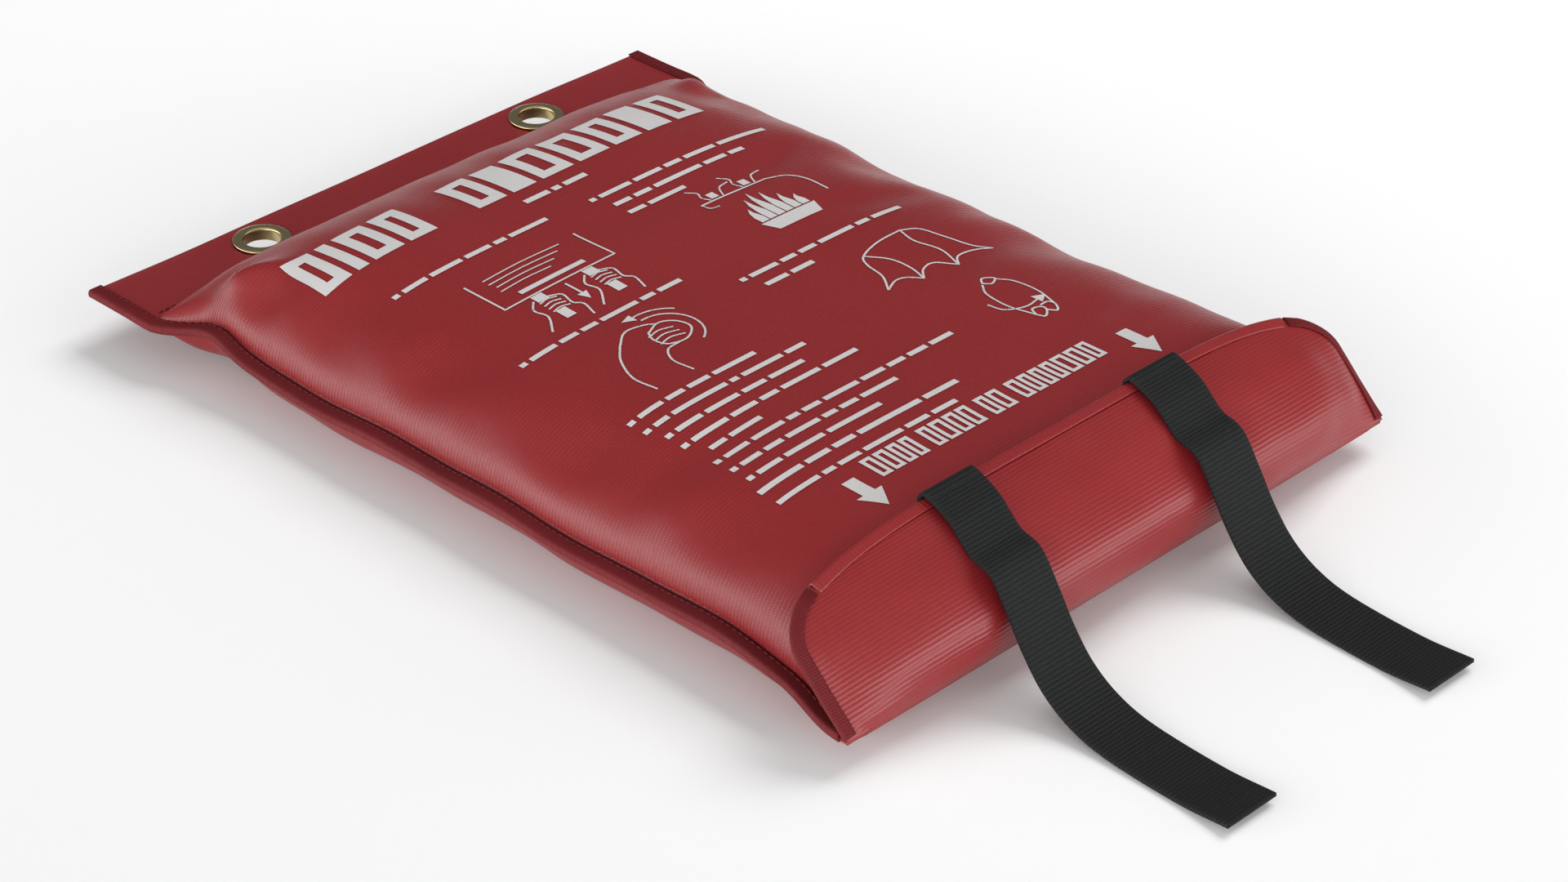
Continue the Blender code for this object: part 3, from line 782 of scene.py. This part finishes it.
def make_eyelets():
    stack = CLOTH + GAP / 2
    top = stack + GAP * 0.4
    outer = EYELET_HOLE + EYELET_WALL
    foot = -stack - GAP - WASHER - GAP
    for side, word in SIDES:
        x = side * EYELET_SPACING / 2
        y = HEADER_TOP - EYELET_DOWN
        z = SEAM_HEIGHT + header_sag(x, y)
        crown = (EYELET_HOLE + EYELET_FLANGE) / 2
        profile = [(EYELET_FLANGE - 0.5, top), (outer, top), (outer, foot)]
        profile += [(outer + 1.6, foot), (outer + 1.7, foot - EYELET_WALL * 0.6)]
        profile += arc(EYELET_HOLE + 0.7, foot, 0.7, 270.0, 180.0, 5)
        profile += arc(EYELET_HOLE + 1.1, top + FLANGE_HIGH - 1.1, 1.1, 180.0, 90.0, 8)
        profile += [(crown, top + FLANGE_HIGH * 0.99), (crown + 1.0, top + FLANGE_HIGH * 0.86)]
        profile += arc(EYELET_FLANGE - 0.5, top + 0.45, 0.5, 60.0, -60.0, 6)
        eyelet = turned(f"brass_eyelet_{word}", profile, x, y, z)
        dress(eyelet, "pouch", [f"eyelet_{word}"])
        low = -stack - GAP - WASHER
        ring = [(outer + GAP, low + 0.15), (outer + GAP + 0.15, low)]
        ring += arc(EYELET_FLANGE - 0.8, low + WASHER / 2, WASHER / 2, -90.0, 90.0, 6)
        ring += [(outer + GAP + 0.15, low + WASHER), (outer + GAP, low + WASHER - 0.15)]
        washer = turned(f"brass_washer_{word}", ring, x, y, z)
        dress(washer, "pouch", [f"eyelet_washer_{word}"])


# --- Flap ---


def flap_base(u, t):
    """Middle of the flap's cloth without its wrinkles: u from -1 to 1, t from the fold to the lip."""
    turn = max(0.0, (t - 0.72) / 0.28)
    half = FLAP_HALF - FLAP_CORNER * (1.0 - math.sqrt(1.0 - min(turn, 1.0) ** 2))
    x = u * half
    middle = spline(FLAP_MIDDLE, t)
    side = spline(FLAP_SIDE, t)
    w = min(abs(x) / FLAP_HALF, 1.0) ** FLAP_SQUARE
    return Vector((x, mix(middle[0], side[0], w), mix(middle[1], side[1], w)))


def flap_normal(u, t):
    """Out of the flap, away from the blanket."""
    e = 0.01
    a = flap_base(min(u + e, 1.0), t) - flap_base(max(u - e, -1.0), t)
    b = flap_base(u, min(t + e, 1.0)) - flap_base(u, max(t - e, 0.0))
    return a.cross(b).normalized()


def flap_point(u, t):
    point = flap_base(u, t)
    x = point.x
    strap = min(abs(abs(x) - STRAP_SPACING / 2) / STRAP_WIDTH, 1.0)
    free = smooth((strap - 0.45) / 0.4)
    height = free * (1.3 * wander(x, t * 60.0, 42.0, 11) + 0.7 * wander(x, t * 60.0, 19.0, 12))
    height *= smooth(t / 0.2) * smooth((0.95 - t) / 0.3) * smooth((1.0 - abs(u)) / 0.06)
    return point + flap_normal(u, t) * height


def flap_place(u, v):
    s = 2.0 * u - 1.0
    return flap_point(math.copysign(math.sin(abs(s) * math.pi / 2), s), mix(FLAP_START, 1.0, v))


def fold_blend(obj):
    """Puts the piece's placing into its mesh; the cloth is left unbent at the fold line."""
    start = at(0.0, FOLD[0] + 0.6, FOLD[1])
    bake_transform(obj)


def flap_side_edge(side):
    def edge(s):
        t = mix(0.06, 1.0, s)
        ahead = flap_base(side, min(t + 0.01, 1.0)) - flap_base(side, t - 0.01)
        normal = flap_normal(side * 0.97, min(t, 0.98))
        return flap_base(side, t), normal.cross(ahead) * side, normal

    return edge


def lip_edge(s):
    u = mix(-0.985, 0.985, s)
    point = flap_base(u, 1.0)
    along = flap_base(min(u + 0.01, 1.0), 1.0) - flap_base(u - 0.01, 1.0)
    inward = flap_base(u, 0.93) - point
    inward -= along * (inward.dot(along) / along.length_squared)
    return point, inward, inward.cross(along).normalized()


def make_flap():
    def rim(u, v):
        return smooth((v - 0.95) / 0.05)

    cloth = woven("flap_cloth", 140, 60, flap_place, CLOTH * 0.9, COATED_CLOTH, rim)
    dress(cloth, None, ["flap"])
    fold_blend(cloth)
    for side, word in SIDES:
        tape = folded_tape(
            f"flap_tape_{word}", 48, HEM_WIDTH, CLOTH / 2, TAPE * 0.8, BINDING, flap_side_edge(side))
        dress(tape, None, [f"flap_binding_{word}"])
        fold_blend(tape)
    hem = folded_tape("lip_hem", 140, HEM_WIDTH, CLOTH / 2 + 0.1, TAPE * 0.8, COATED_CLOTH, lip_edge)
    dress(hem, "flap", ["flap_lip_hem"])


# --- Straps ---

HEM_OUT = CLOTH / 2 + LIP_GAP + 0.4 + TAPE + GAP + WEBBING / 2     # strap's middle from the lip's cloth
OVER = CLOTH / 2 + GAP + WEBBING / 2 + 0.4                         # and from the flap's cloth


def strap_x(side, s):
    return side * STRAP_SPACING / 2 + STRAP_DRIFT * s


def flap_offset(side, t, away):
    u = side * STRAP_SPACING / 2 / FLAP_HALF
    point = flap_base(u, t) + flap_normal(u, t) * away
    return (point.y, point.z)


def on_lip(forward, out):
    """A point by the lip where the straps cross it: forward past the lip's edge, out of the cloth."""
    u = STRAP_SPACING / 2 / FLAP_HALF
    normal = flap_normal(u, 0.99)
    ahead = Vector((1, 0, 0)).cross(normal) * -1.0
    point = flap_base(u, 1.0) + ahead * forward + normal * out
    return (point.y, point.z)


def web(name, points, side, first, last, steps):
    """Webbing along a smooth curve through (y, z) points, with thin woven edges."""

    def place(u, v):
        y, z = spline(points, v)
        return Vector((strap_x(side, mix(first, last, v)) + (u - 0.5) * STRAP_WIDTH, y, z))

    def rim(u, v):
        return smooth((abs(2 * u - 1) - 0.86) / 0.14)

    strip = woven(name, 12, steps, place, WEBBING, WEB, rim)
    return strip


def make_straps():
    middle_drop = Vector((-0.55, -0.83)) * WEBBING / 2
    leave = Vector(STRAP_LEAVES) + middle_drop
    for side, word in SIDES:
        inner = [flap_offset(side, t, -OVER) for t in (0.12, 0.26, 0.40, 0.54, 0.68, 0.80)]
        inner += [on_lip(forward, -HEM_OUT) for forward in (-6.0, -2.5, 0.0)]
        inner += [on_lip(1.5, -HEM_OUT * 0.72), on_lip(2.3, 0.0), on_lip(1.5, HEM_OUT * 0.80)]
        inner += [on_lip(0.0, HEM_OUT), on_lip(-3.0, HEM_OUT)]
        lip_web = web(f"strap_lip_{word}", inner, side, 0.0, 0.03, 130)
        at(0, *on_lip(0, -1.2))
        at(0, *on_lip(0, 2.6))
        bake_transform(lip_web)
        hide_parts(f"strap_inner_{word}")
        outer = [on_lip(-3.0, HEM_OUT)]
        outer += [flap_offset(side, t, HEM_OUT) for t in (0.84, 0.76)]
        outer += [flap_offset(side, t, OVER) for t in (0.68, 0.60)]
        outer += [tuple(leave)] + STRAP_TAIL
        fall_web = web(f"strap_fall_{word}", outer, side, 0.03, 1.0, 300)
        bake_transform(fall_web)
        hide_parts(f"strap_upper_{word}", f"strap_tail_{word}")


# --- Blanket ---

LAYERS = 14


def make_blanket():
    """The folded blanket: cloth layers that turn back at its ends, on the CAD's block."""
    low, high = (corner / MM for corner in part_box("blanket"))
    bm = bmesh.new()
    bmesh.ops.create_cube(bm, size=2.0)
    bmesh.ops.subdivide_edges(bm, edges=bm.edges, cuts=55, use_grid_fill=True)
    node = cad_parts["blanket"]
    shape = BVHTree.FromPolygons([v.co for v in node.data.vertices], [p.vertices for p in node.data.polygons])
    rub = bm.verts.layers.float.new("rim")
    for vert in bm.verts:
        u, v, w = vert.co
        x = u * (high.x - 1.2)
        y = mix(low.y + 1.2, high.y - 1.2, (v + 1.0) / 2)
        above = shape.ray_cast(Vector((x, y, 200.0)) * MM, Vector((0, 0, -1)))[0]
        below = shape.ray_cast(Vector((x, y, -50.0)) * MM, Vector((0, 0, 1)))[0]
        floor_z = below.z / MM if below else low.z
        roof_z = above.z / MM if above else high.z
        share = (w + 1.0) / 2
        phase = share * LAYERS
        in_layer = 2.0 * (phase - math.floor(phase)) - 1.0
        fold = math.sqrt(max(0.0, 1.0 - in_layer ** 2)) if 0 < share < 1 else 0.0
        at_end = max(smooth((abs(u) - 0.98) / 0.02), smooth((abs(v) - 0.99) / 0.01))
        sink = (1.0 - fold) * 2.4 + 1.0 * wander(x, y, 30.0, 20 + math.floor(phase))
        vert[rub] = at_end * fold * 0.4
        x -= math.copysign(sink * smooth((abs(u) - 0.98) / 0.02), u)
        y -= math.copysign(sink * smooth((abs(v) - 0.99) / 0.01), v)
        z = mix(floor_z + 0.2, roof_z - 0.2, share)
        vert.co = Vector((x, y, z)) * MM
    uv = bm.loops.layers.uv.new("cloth")
    for face in bm.faces:
        normal = face.normal
        for loop in face.loops:
            co = loop.vert.co
            loop[uv].uv = (co.x + co.z, co.y) if abs(normal.y) < 0.7 else (co.x, co.z)
    blanket = put("blanket_fold", bm, GLASS)
    dress(blanket, "blanket", ["blanket"])


# --- Print ---

PRINT_LIFT = 0.22      # of the ink from the cloth's middle facets
WORD_GAP = 2.2
PRINT_CELL = 2.5       # the ink is cut this small to follow the cloth
DRAWN = 0.9            # width of the pictograms' lines
TITLE_Y, TITLE_HEIGHT, TITLE_STROKE = 312.5, 28.5, 5.2


def bar(x, y, width, height):
    """A plain block of ink, as the corners of its outline."""
    return [(x, y), (x + width, y), (x + width, y + height), (x, y + height)]


def frame_of(x, y, width, height, stroke):
    """A hollow block in the place of one character."""
    if width < 2.6 * stroke:
        return [bar(x, y, width, height)]
    sides = [bar(x, y, stroke, height), bar(x + width - stroke, y, stroke, height)]
    inside = width - 2 * stroke
    return sides + [bar(x + stroke, y, inside, stroke), bar(x + stroke, y + height - stroke, inside, stroke)]


def character_row(x, y, widths, height, gap, stroke):
    """Hollow blocks in a row; a width of 0 leaves a space."""
    shapes = []
    for width in widths:
        if width:
            shapes += frame_of(x, y, width, height, stroke)
        x += width + gap if width else 2.4 * gap
    return shapes


def word_row(x, y, words, height):
    """Plain bars in the place of a line's words."""
    shapes = []
    for width in words:
        shapes.append(bar(x, y, width, height))
        x += width + WORD_GAP
    return shapes


def stroke_line(points, width):
    """Blocks of ink along a line through the points, with square joints."""
    shapes = []
    for (ax, ay), (bx, by) in zip(points, points[1:]):
        run = Vector((bx - ax, by - ay))
        if run.length < 1e-6:
            continue
        run.normalize()
        side = Vector((-run.y, run.x)) * width / 2
        over = run * width * 0.25
        a = Vector((ax, ay)) - over
        b = Vector((bx, by)) + over
        shapes.append([tuple(a - side), tuple(b - side), tuple(b + side), tuple(a + side)])
    return shapes


def curve(points, width, steps=24):
    """Ink along a smooth line through the points."""
    return stroke_line([spline(points, k / steps) for k in range(steps + 1)], width)


def arrow_down(x, y, width, height):
    """An arrow that points to the mouth, with its tip at x, y."""
    head = height * 0.48
    shaft = bar(x - width * 0.24, y + head, width * 0.48, height - head)
    return [shaft, [(x, y), (x + width / 2, y + head), (x - width / 2, y + head)]]


def title_marks():
    shapes = []
    for x, widths, gap in (
            (-113, [14, 5.5, 15, 14], 3.4),
            (-32, [15, 12.5, 17, 16.5, 15, 13.5, 15], 3.6)):
        shapes += character_row(x, TITLE_Y, widths, TITLE_HEIGHT, gap, TITLE_STROKE)
    return shapes


def text_marks():
    lines = [
        (-16, 301, [13, 4, 12], 3.2),
        (-100, 285, [3, 12, 16, 13, 6, 20], 2.7),
        (3, 283, [3, 17, 15, 9, 17, 27], 2.7),
        (8, 274, [9, 9, 26, 12, 8], 2.7),
        (8, 265.5, [9, 20], 2.7),
        (-100, 211, [3, 13, 9, 8, 19, 7, 12], 2.7),
        (0, 193.5, [3, 15, 8, 9, 19, 7, 16], 2.7),
        (5, 184.5, [12, 12], 2.7),
        (-100, 151.5, [3, 12, 9, 11, 22], 2.6),
        (-100, 143, [3, 7, 28, 4, 21, 10], 2.6),
        (-97, 134.5, [3, 13, 17, 12, 18], 2.6),
        (-97, 126, [3, 18, 13, 9, 20, 18], 2.6),
        (-91, 117.5, [8, 16], 2.6),
        (-97, 109, [3, 12, 16, 6, 9, 18, 12, 9, 10, 12], 2.6),
        (-97, 100.5, [3, 10, 9, 17, 7, 9, 19], 2.6),
        (-97, 92, [3, 12, 20, 28], 2.6),
        (-100, 83, [22, 12, 11, 33, 18], 2.9),
        (-100, 73.5, [21, 6, 11, 20, 12, 13], 2.6),
    ]
    shapes = []
    for x, y, words, height in lines:
        shapes += word_row(x, y + 0.5, words, height)
    mouth_line = [5.5, 5.5, 5, 5, 0, 5.2, 6.2, 5.6, 5.6, 0, 5.2, 5.8, 0]
    mouth_line += [5.6, 5, 5, 5, 6.2, 5.6, 5]
    return shapes + character_row(-63, 58.2, mouth_line, 13, 1.35, 1.75)


def moved(x, y, points):
    return [(x + px, y + py) for px, py in points]


def drawn(x, y, *lines):
    """Thin smooth lines through points measured from x, y."""
    return [block for line in lines for block in curve(moved(x, y, line), DRAWN)]


def pouch_pictogram():
    """A pouch with two straps that are pulled down by two hands."""
    x, y = -78.0, 246.0
    shapes = stroke_line(moved(x, y, [(0, 24), (0, 0), (58, 0), (58, 24)]), DRAWN)
    for k, (start, long) in enumerate(((8.0, 40.0), (8.0, 36.0), (9.0, 30.0), (8.0, 26.0))):
        high = 22.0 - 3.6 * k
        line = [(start, high), (start + long / 2, 22.6 - 3.6 * k), (start + long, high)]
        shapes += curve(moved(x, y, line), 0.7, 6)
    shapes += [bar(x + 12, y + 3.6, 34.0, 2.6)]
    for centre in (x + 15, x + 42):
        shapes += [bar(centre - 2.8, y - 6.0, 5.6, 5.2), bar(centre - 2.4, y - 22.0, 4.8, 7.0)]
        shapes += drawn(
            centre, y,
            [(-4, -4), (-8, -9), (-7, -16), (-13, -25)],
            [(3, -5), (7.5, -8), (6.5, -15), (9, -19), (7, -27)])
        for k in range(4):
            finger = [(-3, -7.0 - 2.6 * k), (1, -6.2 - 2.6 * k), (5, -7.4 - 2.6 * k)]
            shapes += curve(moved(centre, y, finger), 0.8, 8)
    shapes += [bar(x + 28.2, y - 13.0, 1.0, 10.0)]
    return shapes + [moved(x + 28.7, y - 18.0, [(0, 0), (2.4, 5.4), (-2.4, 5.4)])]


def knob_pictogram():
    """A hand that turns a round control, with an arrow round it."""
    x, y = -47.0, 187.0
    shapes = curve(arc(x, y, 14.0, -60.0, 95.0, 10), DRAWN, 30)
    shapes += curve(arc(x, y, 18.0, 40.0, 100.0, 8), DRAWN)
    shapes += [moved(x, y, [(-7.6, 18.4), (-2.0, 20.4), (-2.2, 15.2)])]
    knob = [(-6, 5), (2, 8), (8, 4), (9, -3), (2, -8), (-6, -6), (-8, 0), (-6, 5)]
    shapes += curve(moved(x, y, knob), DRAWN, 40)
    shapes += drawn(
        x, y,
        [(-20, 6), (-12, 12), (-4, 11), (1, 8)],
        [(-31, -26), (-32, -14), (-27, -2), (-20, 6)],
        [(-12, -26), (-13, -16), (-9, -9), (-2, -8)])
    for k in range(3):
        shapes += curve(moved(x, y, [(-8, 2.6 - 3.4 * k), (-2, 3.8 - 3.4 * k), (4, 2.0 - 3.4 * k)]), 0.8, 10)
    return shapes


def flame(x, y, width, height):
    """A tongue of flame standing on x, y."""
    outline = [(0, 0), (width, 0), (width * 1.05, height * 0.35), (width * 0.8, height * 0.7),
               (width * 0.85, height), (width * 0.3, height * 0.72), (width * 0.02, height * 0.4)]
    return moved(x, y, outline)


def fire_pictogram():
    """A burning pan under a blanket that two hands hold."""
    x, y = 38.0, 214.0
    shapes = [moved(x, y, [(3, 0), (27, 0), (30, 8), (0, 8)])]
    for k, high in enumerate((12.0, 19.0, 23.0, 20.0, 14.0, 9.0)):
        shapes.append(flame(x + 1.5 + 4.6 * k, y + 8.8, 4.0, high))
    shapes += stroke_line(moved(x, y, [(-6, 36), (30, 36)]), DRAWN)
    shapes += drawn(
        x, y,
        [(30, 36), (38, 32), (42, 24), (42, 12)],
        [(-6, 36), (-5, 32), (-1, 31)])
    for centre in (x + 3, x + 21):
        shapes += [bar(centre - 1.8, y + 37.4, 4.0, 4.4)]
        shapes += curve(moved(centre, y, [(-3, 37), (-4.5, 41), (-3, 45), (-6, 49)]), 0.8)
        shapes += curve(moved(centre, y, [(4, 37), (6, 41), (8, 43), (13, 44)]), 0.8)
    return shapes


def cover_pictogram():
    """A blanket lying over a pan."""
    x, y = 36.0, 146.0
    shapes = drawn(
        x, y,
        [(0, 4), (6, 13), (8, 23), (12, 29), (24, 33), (38, 34)],
        [(38, 34), (45, 30), (48, 20), (52, 9), (58, 2)],
        [(0, 4), (7, 7), (12, 6), (17, 1)],
        [(17, 1), (22, 6), (29, 7), (36, 0)],
        [(36, 0), (41, 5), (50, 5), (58, 2)],
        [(12, 29), (18, 20), (19, 10), (17, 1)],
        [(38, 34), (36, 24), (39, 12), (36, 0)])
    return shapes


def roll_pictogram():
    """A rolled blanket with an arrow round it."""
    x, y = 68.0, 95.0
    shapes = drawn(
        x, y,
        [(-5, 2), (-8, 14), (-7, 26), (-3, 32)],
        [(7, 3), (10, 15), (9, 26), (5, 32)])
    shapes += curve(moved(x, y, [(-2, 33), (1, 36), (5, 33), (1, 30.5), (-2, 33)]), DRAWN, 16)
    shapes += curve(moved(x, y, [(-5, 2), (-3, -1), (1, 2), (1, 5), (-3, 6), (-5, 2)]), DRAWN, 18)
    shapes += curve(moved(x, y, [(1, 2), (4, -1), (7, 3), (6, 6), (2, 6)]), DRAWN, 14)
    shapes += drawn(x, y, [(-13, 20), (-11, 13), (-3, 9), (5, 10)])
    return shapes + [moved(x, y, [(4.4, 7.2), (10.0, 10.6), (4.0, 13.2)])]


def printed(name, shapes, cloth):
    """Ink lying on the cloth: flat shapes, cut small and laid on the surface under them."""
    bm = bmesh.new()
    for shape in shapes:
        corners = [bm.verts.new(at(x, y, 0.0)) for x, y in shape]
        face = bm.faces.new(corners)
        if face.calc_area() < 1e-12:
            bm.faces.remove(face)
    bmesh.ops.recalc_face_normals(bm, faces=bm.faces)
    for face in bm.faces:
        if face.normal.z < 0:
            face.normal_flip()
    low, high = ([pick(v.co[axis] for v in bm.verts) for axis in (0, 1)] for pick in (min, max))
    cell = PRINT_CELL * MM
    for axis, direction in ((0, Vector((1, 0, 0))), (1, Vector((0, 1, 0)))):
        place = low[axis] + cell
        while place < high[axis]:
            geom = bm.verts[:] + bm.edges[:] + bm.faces[:]
            bmesh.ops.bisect_plane(bm, geom=geom, plane_co=direction * place, plane_no=direction, dist=1e-8)
            place += cell
    uv = bm.loops.layers.uv.new("cloth")
    for face in bm.faces:
        for loop in face.loops:
            loop[uv].uv = loop.vert.co.xy
    for vert in bm.verts:
        found = cloth.ray_cast(vert.co + Vector((0.0, 0.0, 0.2)), Vector((0.0, 0.0, -1.0)))
        vert.co = found[0] + found[1] * PRINT_LIFT * MM
    return dress(put(name, bm, PRINT), "pouch")


def make_print(front):
    mesh = front.data
    cloth = BVHTree.FromPolygons([v.co for v in mesh.vertices], [p.vertices for p in mesh.polygons])
    printed("title_print", title_marks(), cloth)
    printed("text_print", text_marks(), cloth)
    printed("arrow_print", arrow_down(-74.5, 44.5, 13.0, 21.0) + arrow_down(76.5, 45.0, 13.0, 21.0), cloth)
    pictures = pouch_pictogram() + knob_pictogram() + fire_pictogram() + cover_pictogram() + roll_pictogram()
    printed("picture_print", pictures, cloth)


# --- Stage ---

ROOM_LOW = 4.8         # brightness of the room near the floor, in front and at the sides
ROOM_BEHIND = 0.15     # behind the pouch, where its face mirrors it to the camera
ROOM_HIGH = 0.50       # and above

KEY_PLACE = (2.50, 0.30, 3.00)            # metres
KEY_SIZE = 2.4
KEY_POWER = 98.0

CAMERA_HEADING = math.radians(44.78)      # from +X towards +Y
CAMERA_PITCH = math.radians(32.03)        # downwards
CAMERA_DISTANCE = 1569.0
CAMERA_AIM = (-28.9, 142.9, 15.0)
FOCAL_SHARE = 5009.0 / 1920.0             # focal length as a share of the frame's width


def make_floor():
    bm = bmesh.new()
    bmesh.ops.create_grid(bm, x_segments=2, y_segments=2, size=6.0)
    floor = put("studio_floor", bm, make_floor_material())
    floor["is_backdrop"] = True


def make_key():
    """The key light: seen by the cloth's colour, not mirrored in its gloss."""
    light = bpy.data.lights.new("key", "AREA")
    light.shape = "RECTANGLE"
    light.size = light.size_y = KEY_SIZE
    light.energy = KEY_POWER
    lamp = placed("key", light)
    lamp.location = KEY_PLACE
    lamp.visible_glossy = False
    lamp.rotation_euler = (-Vector(KEY_PLACE)).to_track_quat("-Z", "Y").to_euler()


def make_light():
    """A broad light from the right and a room that is bright low down, in front and at the sides."""
    make_key()
    world = bpy.data.worlds.new("studio")
    bpy.context.scene.world = world
    world.use_nodes = True
    tree = world.node_tree
    where = tree.nodes.new("ShaderNodeTexCoord").outputs["Generated"]
    parts = joined(tree, "ShaderNodeSeparateXYZ", [("Vector", where)])
    east = calc(tree, "MULTIPLY", parts.outputs["X"], 0.75)
    behind = calc(tree, "MULTIPLY_ADD", parts.outputs["Y"], 0.66, east)
    behind = calc(tree, "MULTIPLY_ADD", behind, 1.6, 0.1, clamp=True)
    low = calc(tree, "MULTIPLY_ADD", behind, ROOM_BEHIND - ROOM_LOW, ROOM_LOW)
    high = calc(tree, "MULTIPLY_ADD", behind, ROOM_BEHIND - ROOM_HIGH, ROOM_HIGH)
    height = calc(tree, "MULTIPLY_ADD", parts.outputs["Z"], 2.6, -0.35, clamp=True)
    level = calc(tree, "ADD", low, calc(tree, "MULTIPLY", height, calc(tree, "SUBTRACT", high, low)))
    background = tree.nodes["Background"]
    background.inputs["Color"].default_value = (1.0, 1.0, 1.0, 1.0)
    tree.links.new(level, background.inputs["Strength"])


def make_camera():
    way = Vector((
        math.cos(CAMERA_HEADING) * math.cos(CAMERA_PITCH),
        math.sin(CAMERA_HEADING) * math.cos(CAMERA_PITCH),
        -math.sin(CAMERA_PITCH)))
    lens = bpy.data.cameras.new("camera")
    lens.sensor_width = 36.0
    lens.lens = 36.0 * FOCAL_SHARE
    lens.clip_start = 0.05
    camera = placed("camera", lens)
    camera.location = at(*CAMERA_AIM) - way * CAMERA_DISTANCE * MM
    camera.rotation_euler = way.to_track_quat("-Z", "Y").to_euler()
    bpy.context.scene.camera = camera


def finish_cad_node(name, material):
    """A CAD node whose shape is right keeps it and takes a finished material."""
    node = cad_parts[name]
    node.data.materials.clear()
    node.data.materials.append(material)


bpy.context.scene.view_settings.view_transform = "Standard"
make_floor()
make_light()
make_camera()
front = make_panels()
make_side_bindings()
make_header_stitches()
make_eyelets()
make_flap()
make_straps()
make_blanket()
make_print(front)
finish_cad_node("mouth_hem", HEM)
for _, word in SIDES:
    finish_cad_node(f"strap_anchor_{word}", SEWN_WEB)

sizes = [[list(corner) for corner in box] for box in (cad_box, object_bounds())]
